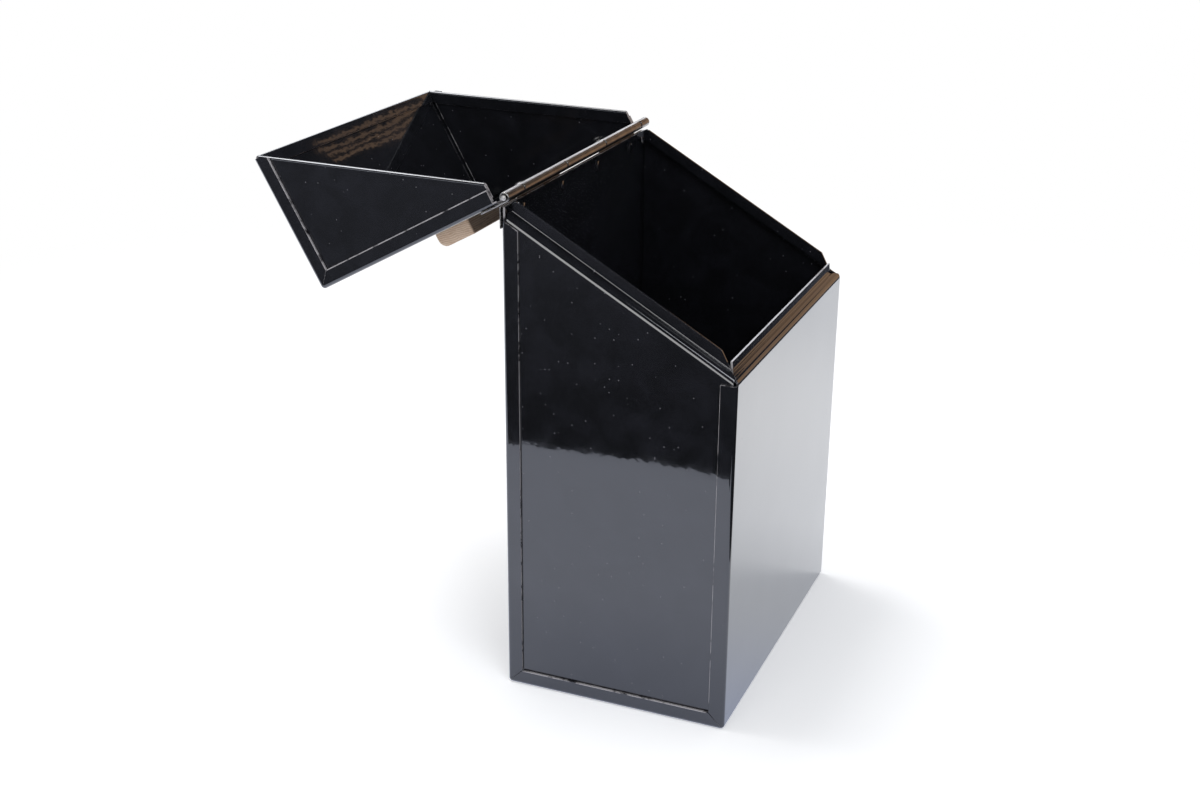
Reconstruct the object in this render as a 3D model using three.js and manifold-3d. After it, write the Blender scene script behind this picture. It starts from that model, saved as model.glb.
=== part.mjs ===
// Kindling box of folded sheet steel with a wedge-shaped lid on a piano hinge.
// Millimetres, +Z up. The origin is the centre of the underside of the box, the front
// faces -Y and the hinge is at the back, +Y. The lid is shown open, on its stop.

import * as THREE from 'three';
import { RoundedBoxGeometry } from 'three/addons/geometries/RoundedBoxGeometry.js';
import { mergeVertices } from 'three/addons/utils/BufferGeometryUtils.js';
import Module from 'manifold-3d';

const wasm = await Module();
wasm.setup();

// ---------------------------------------------------------------- driving dimensions

const WIDTH = 180; // over the side flanges
const DEPTH = 116; // over the front and back panels
const HEIGHT = 255.7; // over the closed lid
const FRONT_DROP = 74; // from the closed lid's top to the side ledges, at the front face
const BACK_DROP = 7.8; // the same at the back face

const SHEET = 1; // steel sheet of box and lid
const BEND = 1; // inside radius of every fold
const FLANGE = 8; // width of the side flanges
const FIT = 0.3; // clearance between pieces that lie against each other
const SLIT = 0.4; // width of the open mitre between two flanges

const LEDGE = 4.4; // from a wall's outer face to the upstand lip
const RIM_R = 3.4; // outside of the roll from the wall to the ledge
const ROOT_R = 0.8; // outside of the fold from the ledge to the lip
const LIP = 5.7; // height of the upstand lip over the ledge
const LIP_NOSE = 3; // corner radius at the back end of a side lip
const LIP_RUNOUT = 5; // how far the front end of a side lip leans back
const RIM_SKIRT = 6; // from the top of the ledge down to the end of the rim's section

const LID_GAP = 1.2; // closed lid above the ledges
const HEM = 6.5; // width of the hems on the lid's free edges
const HEM_THICK = 2.2; // over both layers of a hem
const LID_BACK_CUT = 8.1; // the lid's sides stop this far from the back face

const OPEN_ANGLE = 209.2; // turn of the lid from closed to its stop
const BARREL_R = 2.5; // outside of the hinge knuckles
const LEAF = 0.8; // hinge leaf thickness
const LEAF_WIDTH = 15; // from the hinge axis to the edge of a leaf
const LEAF_INSET = 0.5; // leaf ends inside the box's sides
const KNUCKLE = 50; // length of a whole knuckle
const FIRST_KNUCKLE = 18; // length of the cut knuckle at the left end
const KNUCKLE_GAP = 0.4; // between neighbouring knuckles
const RELIEF = 4.7; // from the hinge axis to the cut-outs and sheet edges
const CURL = 295; // degrees that a knuckle wraps round the pin
const CURL_STEPS = 18; // facets in a knuckle
const PIN_R = 1.3;
const PIN_END = 0.5; // pin beyond the box's sides

const RIVETS = 4; // along each leaf
const RIVET_R = 1.6;
const RIVET_HEAD_R = 2.6; // countersunk into the leaf
const RIVET_TAIL_R = 2.4;
const RIVET_TAIL = 0.4; // thickness of the flattened end
const RIVET_END = 22; // from the box's side to the first rivet
const RIVET_LINE = 10; // from the hinge axis to the rivets

const GRIP_LENGTH = 100;
const GRIP_WIDTH = 21;
const GRIP_HEIGHT = 8.4;
const GRIP_NOSE = 4.5; // rounding of the grip's front edge
const GRIP_EDGE = 0.8; // rounding of its other edges
const GRIP_CORNER = 1; // rounding of its corners in plan
const GRIP_Y = 0; // middle of the grip, from the middle of the box
const SCREW_PITCH = 64;
const SCREW_R = 1.75;
const SCREW_LENGTH = 6.6; // of the shank, from the underside of the head
const SCREW_HEAD_R = 3.6;
const SCREW_HEAD = 2; // height of the domed head

const ARC_STEPS = 4; // facets in a fold

// ------------------------------------------------------------------- derived values

const FRONT = -DEPTH / 2;
const BACK = DEPTH / 2;
const SIDE = WIDTH / 2;
const SLOPE = Math.atan2(FRONT_DROP - BACK_DROP, DEPTH);
const OUTER_BEND = BEND + SHEET;
const CHEEK = SIDE - SHEET - FIT; // outer face of the side plates
const LEAF_FACE = BARREL_R - LEAF; // inner face of a leaf, from the hinge axis
const AXIS_Y = BACK - (LEAF_FACE - FIT);
const AXIS_Z = HEIGHT - (LEAF_FACE - FIT);
const WALL_TOP = AXIS_Z - RELIEF;
const LID_TOP_BACK = AXIS_Y - RELIEF;
const LID_SIDE_BACK = BACK - LID_BACK_CUT;
const SIDE_INNER = CHEEK - SHEET; // inner face of the side plates
const RIM_HALF = SIDE_INNER - FIT; // half width of the front rim at the front panel
const GRIP_BASE = HEIGHT + FIT;
const SCREW_SEAT = HEIGHT - SHEET - FIT; // underside of the screw heads
const SCREW_TIP = SCREW_SEAT + SCREW_LENGTH;

const ledgeAt = (y) => HEIGHT - FRONT_DROP + (y - FRONT) * Math.tan(SLOPE);
const lidEdgeAt = (y) => ledgeAt(y) + LID_GAP;
const FRONT_LEDGE = ledgeAt(FRONT + LEDGE / 2); // height of the ledge along the front
const FREE_EDGE = FRONT_LEDGE + LID_GAP; // lower edge of the lid's front panel

const UPHILL = [0, Math.cos(SLOPE), Math.sin(SLOPE)]; // along a side ledge, to the back
const DOWNHILL = UPHILL.map((value) => -value);
const OUT_OF_SLOPE = [0, -Math.sin(SLOPE), Math.cos(SLOPE)];

const rivetXs = Array.from({ length: RIVETS }, (_, i) =>
  (SIDE - RIVET_END) * ((2 * i) / (RIVETS - 1) - 1));
const screwXs = [-SCREW_PITCH / 2, SCREW_PITCH / 2];
const knuckleEnds = [-SIDE, ...Array.from({ length: 4 }, (_, i) =>
  FIRST_KNUCKLE - SIDE + i * KNUCKLE), SIDE];

// ------------------------------------------------------------------------ materials

const finish = (color, roughness, metalness) =>
  new THREE.MeshStandardMaterial({ color, roughness, metalness });
const ENAMEL = finish(0x0c0c0e, 0.12, 0);
const STEEL = finish(0xb9b6ae, 0.25, 1);
const RIVET_METAL = finish(0x9d9a94, 0.4, 1);
const WOOD = finish(0xc2a184, 0.6, 0);

// ---------------------------------------------------------------------- solid tools

/** A manifold-3d solid from a closed three.js geometry. */
function solid(geometry) {
  const bare = geometry.clone();
  bare.deleteAttribute('normal');
  bare.deleteAttribute('uv');
  const merged = mergeVertices(bare, 1e-4);
  return new wasm.Manifold(new wasm.Mesh({
    numProp: 3,
    vertProperties: new Float32Array(merged.attributes.position.array),
    triVerts: new Uint32Array(merged.index.array),
  }));
}

/** A flat-shaded three.js geometry from a manifold-3d solid. */
function geometryOf(body) {
  const mesh = body.getMesh();
  const geometry = new THREE.BufferGeometry();
  geometry.setAttribute('position', new THREE.BufferAttribute(mesh.vertProperties, 3));
  geometry.setIndex(new THREE.BufferAttribute(mesh.triVerts, 1));
  geometry.computeVertexNormals();
  return geometry;
}

/** The mirror image of a geometry across X = 0, still facing outwards. */
function mirrored(geometry) {
  const twin = geometry.clone().applyMatrix4(new THREE.Matrix4().makeScale(-1, 1, 1));
  const index = twin.index.array;
  for (let i = 0; i < index.length; i += 3) {
    [index[i], index[i + 1]] = [index[i + 1], index[i]];
  }
  twin.computeVertexNormals();
  return twin;
}

/** Extrudes an outline of [u, v] points along w, with axes given in the model frame. */
function extruded(outline, length, origin, u, v, w) {
  const shape = new THREE.Shape(outline.map(([a, b]) => new THREE.Vector2(a, b)));
  const geometry = new THREE.ExtrudeGeometry(shape, { depth: length, bevelEnabled: false });
  const frame = new THREE.Matrix4().makeBasis(
    new THREE.Vector3(...u), new THREE.Vector3(...v), new THREE.Vector3(...w));
  frame.setPosition(...origin);
  return solid(geometry.applyMatrix4(frame));
}

/** A prism along X whose side view is an outline of [y, z] points. */
const sidePrism = (outline, x0, x1) =>
  extruded(outline, x1 - x0, [x0, 0, 0], [0, 1, 0], [0, 0, 1], [1, 0, 0]);

/** A prism along Z whose plan is an outline of [x, y] points. */
const planPrism = (outline, z0, z1) =>
  extruded(outline, z1 - z0, [0, 0, z0], [1, 0, 0], [0, 1, 0], [0, 0, 1]);

/** The rectangle with corners [a0, b0] and [a1, b1]. */
const rectangle = (a0, b0, a1, b1) => [[a0, b0], [a1, b0], [a1, b1], [a0, b1]];

/** A polyline with corner i rounded by radii[i]. Corners with radius 0 stay sharp. */
function rounded(corners, radii, closed = false) {
  const points = [];
  const count = corners.length;
  corners.forEach((corner, i) => {
    const radius = radii[i] ?? 0;
    if (radius === 0 || (!closed && (i === 0 || i === count - 1))) {
      points.push(corner);
      return;
    }
    const at = new THREE.Vector2(...corner);
    const back = new THREE.Vector2(...corners[(i + count - 1) % count]).sub(at).normalize();
    const ahead = new THREE.Vector2(...corners[(i + 1) % count]).sub(at).normalize();
    const half = Math.acos(THREE.MathUtils.clamp(back.dot(ahead), -1, 1)) / 2;
    const centre = back.clone().add(ahead).normalize()
      .multiplyScalar(radius / Math.sin(half)).add(at);
    const from = back.multiplyScalar(radius / Math.tan(half)).add(at).sub(centre);
    const to = ahead.multiplyScalar(radius / Math.tan(half)).add(at).sub(centre);
    const start = from.angle();
    let sweep = to.angle() - start;
    if (sweep > Math.PI) sweep -= 2 * Math.PI;
    if (sweep < -Math.PI) sweep += 2 * Math.PI;
    for (let k = 0; k <= ARC_STEPS; k += 1) {
      const angle = start + (sweep * k) / ARC_STEPS;
      points.push([centre.x + radius * Math.cos(angle), centre.y + radius * Math.sin(angle)]);
    }
  });
  return points;
}

/** A turned piece: a closed profile of [radius, height] points about the Z axis. */
function turned(profile, segments) {
  const points = profile.map(([r, z]) => new THREE.Vector2(r, z));
  const geometry = new THREE.LatheGeometry(points, segments);
  return solid(geometry.rotateX(Math.PI / 2));
}

/** A plain round bar along Z from z0 to z1. */
function bar(radius, z0, z1, segments = 20) {
  const geometry = new THREE.CylinderGeometry(radius, radius, z1 - z0, segments);
  return solid(geometry.rotateX(Math.PI / 2).translate(0, 0, (z0 + z1) / 2));
}

/** Moves a solid by a matrix, through its three.js geometry. */
const moved = (body, matrix) => solid(geometryOf(body).applyMatrix4(matrix));

/** A named mesh of the object. */
function piece(name, geometry, material) {
  const mesh = new THREE.Mesh(geometry, material);
  mesh.name = name;
  return mesh;
}

/** Place of a rivet on each leaf: local Z is outwards and Z = 0 the leaf's inner face. */
const bodySeat = (x) => new THREE.Matrix4().makeRotationX(-Math.PI / 2)
  .setPosition(x, AXIS_Y + LEAF_FACE, AXIS_Z - RIVET_LINE);
const lidSeat = (x) => new THREE.Matrix4()
  .setPosition(x, AXIS_Y - RIVET_LINE, AXIS_Z + LEAF_FACE);

/** Axes of each leaf about the hinge: u outwards, v away from the axis, w along it. */
const BODY_LEAF = {
  u: [0, 1, 0], v: [0, 0, -1], w: [-1, 0, 0], origin: (x0, x1) => [x1, AXIS_Y, AXIS_Z],
};
const LID_LEAF = {
  u: [0, 0, 1], v: [0, -1, 0], w: [1, 0, 0], origin: (x0) => [x0, AXIS_Y, AXIS_Z],
};

// -------------------------------------------------------------------- sheet details

/** Cross-section of a rim: sheet rising to the fold, ledge inwards, lip standing up.
 *  u runs inwards from the outer face and v upwards from the top of the ledge. */
function rimSection(lip) {
  const outer = [[0, -RIM_SKIRT], [0, 0], [LEDGE, 0], [LEDGE, lip]];
  const inner = [
    [SHEET, -RIM_SKIRT], [SHEET, -SHEET], [LEDGE + SHEET, -SHEET], [LEDGE + SHEET, lip]];
  return [
    ...rounded(outer, [0, RIM_R, ROOT_R, 0]),
    ...rounded(inner, [0, RIM_R - SHEET, ROOT_R + SHEET, 0]).reverse(),
  ];
}

/** Cross-section of a hemmed edge, its two layers of sheet joined by a round fold.
 *  u runs inwards from the outer face and v upwards from the free edge. */
function hemSection() {
  const fold = 0.49 * HEM_THICK;
  return rounded([[0, HEM], [0, 0], [HEM_THICK, 0], [HEM_THICK, HEM]], [0, fold, fold, 0]);
}

/** A closed box of folded sheet between two corners, which later cuts open. */
function foldedShell(low, high) {
  const block = (inset, radius) => {
    const size = high.map((value, i) => value - low[i] - 2 * inset);
    const geometry = new RoundedBoxGeometry(...size, ARC_STEPS - 1, radius);
    return solid(geometry.translate(...high.map((value, i) => (value + low[i]) / 2)));
  };
  return block(0, OUTER_BEND).subtract(block(SHEET, BEND));
}

/** The same side view cut through both side planes, as far as the folds. */
function throughSides(outline) {
  const reach = SIDE - OUTER_BEND;
  return sidePrism(outline, reach, SIDE + 1).add(sidePrism(outline, -SIDE - 1, -reach));
}

/** The open mitre between two flanges, from a corner inwards. dy and dz are 1 or -1. */
function mitreSlit(y, z, dy, dz) {
  const half = SLIT / Math.SQRT2;
  const end = FLANGE + SLIT;
  const outline = [
    [y + dy * (OUTER_BEND + half), z + dz * OUTER_BEND], [y + dy * (end + half), z + dz * end],
    [y + dy * end, z + dz * (end + half)], [y + dy * OUTER_BEND, z + dz * (OUTER_BEND + half)]];
  return throughSides(outline);
}

// ------------------------------------------------------------------------- the body

/** Back panel, bottom and front panel in one strip, with side flanges and front rim. */
function bodyWrap() {
  const tall = HEIGHT + FLANGE;
  const flangeDrop = RIM_R / Math.cos(SLOPE) + FIT;
  const flangeTop = FRONT_LEDGE - RIM_R - FIT;
  const innerBack = BACK - SHEET;
  const backFlange = BACK - FLANGE;
  const frontFlange = FRONT + FLANGE;
  const outline = [
    [FRONT - 1, -1], [BACK + 1, -1], [BACK + 1, WALL_TOP], [innerBack, WALL_TOP],
    [innerBack, ledgeAt(innerBack) - flangeDrop],
    [backFlange, ledgeAt(backFlange) - flangeDrop], [frontFlange, flangeTop],
    [FRONT - 1, flangeTop]];
  const frameOpening = [
    [frontFlange, FLANGE], [backFlange, FLANGE], [backFlange, tall], [frontFlange, tall]];
  return foldedShell([-SIDE, FRONT, 0], [SIDE, BACK, tall])
    .intersect(sidePrism(outline, -SIDE - 1, SIDE + 1))
    .subtract(throughSides(frameOpening))
    .subtract(mitreSlit(FRONT, 0, 1, 1))
    .subtract(mitreSlit(BACK, 0, -1, 1))
    .add(frontRim())
    .subtract(eachRivet(bodySeat, sheetHole));
}

/** Ledge and lip along the front panel, mitred in plan to clear the side rims. */
function frontRim() {
  const flat = SIDE - OUTER_BEND;
  const rim = extruded(rimSection(LIP), 2 * flat, [-flat, FRONT, FRONT_LEDGE],
    [0, 1, 0], [0, 0, 1], [1, 0, 0]);
  const narrow = RIM_HALF - LEDGE;
  const panel = FRONT + SHEET;
  const lip = panel + LEDGE;
  const plan = [
    [-flat, FRONT - 1], [flat, FRONT - 1], [flat, panel], [RIM_HALF, panel], [narrow, lip],
    [narrow, lip + 1], [-narrow, lip + 1], [-narrow, lip], [-RIM_HALF, panel], [-flat, panel]];
  return rim.intersect(planPrism(plan, FRONT_LEDGE - RIM_SKIRT - 1, FRONT_LEDGE + LIP + 1));
}

/** Left side plate: set in behind the flanges, its sloping edge folded to a rim. */
function bodySide() {
  const front = FRONT + OUTER_BEND;
  const back = BACK - OUTER_BEND;
  const foot = OUTER_BEND;
  const overrun = 2 * (LEDGE + LIP);
  const startY = BACK + overrun;
  const rim = extruded(rimSection(2 * LIP), (DEPTH + 2 * overrun) / Math.cos(SLOPE),
    [-CHEEK, startY, ledgeAt(startY)], [1, 0, 0], OUT_OF_SLOPE, DOWNHILL);

  const lipTopAt = (y) => ledgeAt(y) + LIP / Math.cos(SLOPE);
  const lipEnd = FRONT + LEDGE + FIT;
  const lipBack = back - BEND;
  const side = rounded([
    [front, foot], [back, foot], [back, ledgeAt(back) + FIT],
    [lipBack, ledgeAt(lipBack) + FIT], [lipBack, lipTopAt(lipBack)],
    [lipEnd + LIP_RUNOUT, lipTopAt(lipEnd + LIP_RUNOUT)],
    [lipEnd, ledgeAt(lipEnd) + FIT], [front, ledgeAt(front) + FIT],
  ], [0, 0, 0, 0, LIP_NOSE, 0, 0, 0], true);
  const outer = -RIM_HALF - SLIT;
  const inner = outer + LEDGE;
  const corner = planPrism([
    [outer, FRONT], [inner + SIDE / 2, FRONT], [inner + SIDE / 2, FRONT + SHEET + LEDGE],
    [inner, FRONT + SHEET + LEDGE], [outer, FRONT + SHEET]], 0, HEIGHT);

  const plateTop = (RIM_R + RIM_SKIRT) / 2 / Math.cos(SLOPE);
  const plate = sidePrism([
    [front, foot], [back, foot], [back, ledgeAt(back) - plateTop],
    [front, ledgeAt(front) - plateTop]], -CHEEK, -CHEEK + SHEET);
  return rim.intersect(sidePrism(side, -CHEEK - 1, 0)).subtract(corner).add(plate);
}

// -------------------------------------------------------------------------- the lid

/** Top and front panel of the lid in one strip, with side flanges and a hemmed edge. */
function lidWrap() {
  const low = FREE_EDGE - FLANGE;
  const slopeStart = FRONT + LEDGE / 2;
  const flangeEnd = FRONT + FLANGE;
  const flangeLow = HEIGHT - FLANGE;
  const outline = [
    [FRONT - 1, FREE_EDGE], [slopeStart, FREE_EDGE], [LID_SIDE_BACK, lidEdgeAt(LID_SIDE_BACK)],
    [LID_SIDE_BACK, HEIGHT - SHEET], [LID_TOP_BACK, HEIGHT - SHEET],
    [LID_TOP_BACK, HEIGHT + 1], [FRONT - 1, HEIGHT + 1]];
  const frameOpening = [
    [flangeEnd, low], [BACK + 1, low], [BACK + 1, flangeLow], [flangeEnd, flangeLow]];
  const screwHoles = screwXs
    .map((x) => bar(SCREW_R + FIT, HEIGHT - SHEET - 1, HEIGHT + 1).translate(x, GRIP_Y, 0))
    .reduce((all, hole) => all.add(hole));
  return foldedShell([-SIDE, FRONT, low], [SIDE, BACK + FLANGE, HEIGHT])
    .intersect(sidePrism(outline, -SIDE - 1, SIDE + 1))
    .subtract(throughSides(frameOpening))
    .subtract(mitreSlit(FRONT, HEIGHT, 1, -1))
    .subtract(planPrism(rectangle(-RIM_HALF, FRONT - 1, RIM_HALF, FRONT + OUTER_BEND),
      low, FREE_EDGE + HEM / 2))
    .add(extruded(hemSection(), 2 * RIM_HALF, [-RIM_HALF, FRONT, FREE_EDGE],
      [0, 1, 0], [0, 0, 1], [1, 0, 0]))
    .subtract(eachRivet(lidSeat, sheetHole))
    .subtract(screwHoles);
}

/** Left side plate of the lid: a wedge with its narrow end cut off at the hinge and a hem
 *  along the sloping edge. */
function lidSide() {
  const front = FRONT + OUTER_BEND;
  const top = HEIGHT - OUTER_BEND;
  const edge = HEM / 2 / Math.cos(SLOPE);
  const plate = sidePrism(rounded([
    [front, lidEdgeAt(front) + edge], [LID_SIDE_BACK, lidEdgeAt(LID_SIDE_BACK) + edge],
    [LID_SIDE_BACK, top], [front, top],
  ], [0, 0, BEND, BEND], true), -CHEEK, -CHEEK + SHEET);
  const startY = BACK + LEDGE;
  const hem = extruded(hemSection(), (DEPTH + 2 * LEDGE) / Math.cos(SLOPE),
    [-CHEEK, startY, lidEdgeAt(startY)], [1, 0, 0], OUT_OF_SLOPE, DOWNHILL);
  const clear = FRONT + HEM_THICK + FIT;
  const inner = planPrism([
    [-CHEEK - 1, front], [-CHEEK + SHEET, front], [-CHEEK + SHEET, clear], [0, clear],
    [0, LID_SIDE_BACK], [-CHEEK - 1, LID_SIDE_BACK]], 0, top);
  return plate.add(hem.intersect(inner));
}

// ------------------------------------------------------------------------ the hinge

/** Outline of a knuckle with the strap to its leaf. u points out from the panel and v
 *  from the hinge axis along the leaf. */
function knuckleSection() {
  const arc = (radius) => Array.from({ length: CURL_STEPS + 1 }, (_, i) => {
    const angle = THREE.MathUtils.degToRad((CURL * i) / CURL_STEPS);
    return [radius * Math.cos(angle), -radius * Math.sin(angle)];
  });
  const strap = RELIEF + LEAF;
  return [
    [LEAF_FACE, strap], [BARREL_R, strap], ...arc(BARREL_R), ...arc(LEAF_FACE).reverse()];
}

/** A hinge leaf with the knuckles of every second place, from the first one given. */
function hingeLeaf(firstPlace, place, seat) {
  const end = SIDE - LEAF_INSET;
  const flat = (outline, x0, x1) => extruded(outline, x1 - x0, place.origin(x0, x1),
    place.u, place.v, place.w);
  let leaf = flat(rectangle(LEAF_FACE, RELIEF, BARREL_R, LEAF_WIDTH), -end, end);
  for (let i = firstPlace; i < knuckleEnds.length - 1; i += 2) {
    const x0 = Math.max(knuckleEnds[i] + KNUCKLE_GAP / 2, -end);
    const x1 = Math.min(knuckleEnds[i + 1] - KNUCKLE_GAP / 2, end);
    leaf = leaf.add(flat(knuckleSection(), x0, x1));
  }
  return leaf.subtract(eachRivet(seat, leafHole));
}

/** The pin through all knuckles, its ends slightly peened round. */
function hingePin() {
  const half = SIDE + PIN_END;
  const flat = 0.7 * PIN_R;
  const round = PIN_R - flat;
  const pin = turned([
    [0, -half], [flat, -half], [PIN_R, round - half], [PIN_R, half - round], [flat, half],
    [0, half]], 24);
  return moved(pin, new THREE.Matrix4().makeRotationY(Math.PI / 2)
    .setPosition(0, AXIS_Y, AXIS_Z));
}

/** Hole for one rivet in the sheet, along Z with the leaf's inner face at Z = 0. */
const sheetHole = () => bar(RIVET_R + FIT, -SHEET - 2 * FIT, FIT);

/** Countersunk hole for one rivet in the leaf. */
function leafHole() {
  const wide = RIVET_HEAD_R + FIT;
  const narrow = RIVET_R + FIT;
  return turned([
    [0, -1], [narrow, -1], [narrow, 0], [wide, LEAF], [wide, LEAF + 1], [0, LEAF + 1]], 20);
}

/** A rivet with its countersunk head flush in the leaf and its tail behind the sheet. */
function rivet() {
  const seat = -FIT - SHEET - FIT;
  const tail = seat - RIVET_TAIL;
  return turned([
    [0, tail], [RIVET_TAIL_R - RIVET_TAIL, tail], [RIVET_TAIL_R, tail + RIVET_TAIL / 2],
    [RIVET_TAIL_R, seat], [RIVET_R, seat], [RIVET_R, 0], [RIVET_HEAD_R, LEAF], [0, LEAF]], 20);
}

/** One tool at every rivet's seat, joined. */
function eachRivet(seat, tool) {
  return rivetXs.map((x) => moved(tool(), seat(x))).reduce((all, one) => all.add(one));
}

// ------------------------------------------------------------------------- the grip

/** Wooden bar with a rounded front edge and blind pilot holes for its screws. */
function grip() {
  const low = GRIP_BASE;
  const high = low + GRIP_HEIGHT;
  const end = GRIP_LENGTH / 2;
  const half = GRIP_WIDTH / 2;
  const view = rounded(rectangle(GRIP_Y - half, low, GRIP_Y + half, high),
    [GRIP_EDGE, GRIP_EDGE, GRIP_EDGE, GRIP_NOSE], true);
  const plan = rounded(rectangle(-end, GRIP_Y - half, end, GRIP_Y + half),
    Array(4).fill(GRIP_CORNER), true);
  const pilot = bar(SCREW_R + FIT, low - 1, SCREW_TIP + FIT);
  return screwXs.reduce((wood, x) => wood.subtract(pilot.translate(x, GRIP_Y, 0)),
    sidePrism(view, -end, end).intersect(planPrism(plan, low - 1, high + 1)));
}

/** A wood screw up through the lid's top panel, its domed head inside the lid. */
function gripScrew() {
  const seat = SCREW_SEAT;
  const face = seat - SCREW_HEAD;
  return turned([
    [0, face], [0.55 * SCREW_HEAD_R, face], [0.85 * SCREW_HEAD_R, face + 0.3 * SCREW_HEAD],
    [SCREW_HEAD_R, seat - 0.2 * SCREW_HEAD], [SCREW_HEAD_R, seat], [SCREW_R, seat],
    [SCREW_R, SCREW_TIP - SCREW_R], [0, SCREW_TIP]], 20);
}

// --------------------------------------------------------------------- the assembly

const box = new THREE.Group();
box.add(piece('body_wrap', geometryOf(bodyWrap()), ENAMEL));
const side = geometryOf(bodySide());
box.add(piece('body_side_left', side, ENAMEL));
box.add(piece('body_side_right', mirrored(side), ENAMEL));
box.add(piece('hinge_leaf_body', geometryOf(hingeLeaf(1, BODY_LEAF, bodySeat)), STEEL));
box.add(piece('hinge_pin', geometryOf(hingePin()), STEEL));

const closedLid = new THREE.Group();
closedLid.position.set(0, -AXIS_Y, -AXIS_Z);
closedLid.add(piece('lid_wrap', geometryOf(lidWrap()), ENAMEL));
const cheek = geometryOf(lidSide());
closedLid.add(piece('lid_side_left', cheek, ENAMEL));
closedLid.add(piece('lid_side_right', mirrored(cheek), ENAMEL));
closedLid.add(piece('hinge_leaf_lid', geometryOf(hingeLeaf(0, LID_LEAF, lidSeat)), STEEL));
closedLid.add(piece('lid_grip', geometryOf(grip()), WOOD));

rivetXs.forEach((x, i) => {
  box.add(piece(`body_rivet_${i + 1}`, geometryOf(moved(rivet(), bodySeat(x))), RIVET_METAL));
  closedLid.add(piece(`lid_rivet_${i + 1}`, geometryOf(moved(rivet(), lidSeat(x))), RIVET_METAL));
});
screwXs.forEach((x, i) => {
  const screw = piece(`grip_screw_${i + 1}`, geometryOf(gripScrew()), STEEL);
  screw.position.set(x, GRIP_Y, 0);
  closedLid.add(screw);
});

const lid = new THREE.Group();
lid.position.set(0, AXIS_Y, AXIS_Z);
lid.rotation.x = -THREE.MathUtils.degToRad(OPEN_ANGLE);
lid.add(closedLid);

const kindlingBox = new THREE.Group();
kindlingBox.add(box, lid);

export default kindlingBox;
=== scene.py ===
"""Looks of a kindling box: folded sheet steel in glossy black enamel, with a wedge-shaped lid.

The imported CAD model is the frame. Each sheet, hinge part, rivet, screw and the wooden grip is
built again as a finer surface in the same place, and gets the finish of the real one. Sizes are
in millimetres until a mesh is made; +Z is up, the front faces -Y and the hinge is at the back.
The lid's pieces are drawn closed and turned to the open lid as their meshes are made.
"""

import logging
import math
from dataclasses import dataclass, field
from enum import Enum
from functools import partial
from typing import Any, Callable, ClassVar

import bpy
import numpy as np
import numpy.typing as npt
from mathutils import Matrix, Vector


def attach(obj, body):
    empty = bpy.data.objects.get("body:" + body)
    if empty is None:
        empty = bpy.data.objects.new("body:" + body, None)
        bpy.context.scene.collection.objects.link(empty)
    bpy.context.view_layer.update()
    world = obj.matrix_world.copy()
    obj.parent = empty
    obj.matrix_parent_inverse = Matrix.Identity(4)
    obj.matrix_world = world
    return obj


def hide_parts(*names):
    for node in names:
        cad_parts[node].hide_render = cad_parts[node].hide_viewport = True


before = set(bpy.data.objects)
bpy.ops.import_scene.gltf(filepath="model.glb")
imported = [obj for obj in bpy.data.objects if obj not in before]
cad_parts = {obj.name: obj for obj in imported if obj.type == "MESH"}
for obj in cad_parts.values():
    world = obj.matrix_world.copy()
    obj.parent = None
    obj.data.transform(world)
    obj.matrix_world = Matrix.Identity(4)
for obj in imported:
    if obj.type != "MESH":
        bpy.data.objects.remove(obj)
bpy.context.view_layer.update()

Points = npt.NDArray[np.float64]
Limit = Callable[[Points], Points]
Place = tuple[float, float, float]
Colour = tuple[float, float, float, float]
Stop = tuple[float, str]
Material = bpy.types.Material
Thing = bpy.types.Object
Node = bpy.types.Node
Tree = bpy.types.NodeTree
Socket = tuple[Node, str]
AddNode = Callable[..., Node]

MM = 0.001
log = logging.getLogger("kindling_box")


class Body(Enum):
    """The two rigid bodies of the object."""

    BOX = "box"
    LID = "lid"

    @property
    def part(self) -> str:
        """Word for the body in the names of its pieces."""
        return "body" if self is Body.BOX else "lid"


class Slot(Enum):
    """The record's material slots."""

    ENAMEL = "black_enamel"
    STEEL = "bright_steel"
    RIVET = "rivet_steel"
    WOOD = "pale_wood"


class PaintedEdge(Enum):
    """Which line of a grid's faces gets the painted highlight of a cut edge, light grey in
    dashes.
    """

    NONE = "none"
    FIRST_ROW = "first row"
    LAST_COLUMN = "last column"


# -------------------- sizes in common


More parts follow.
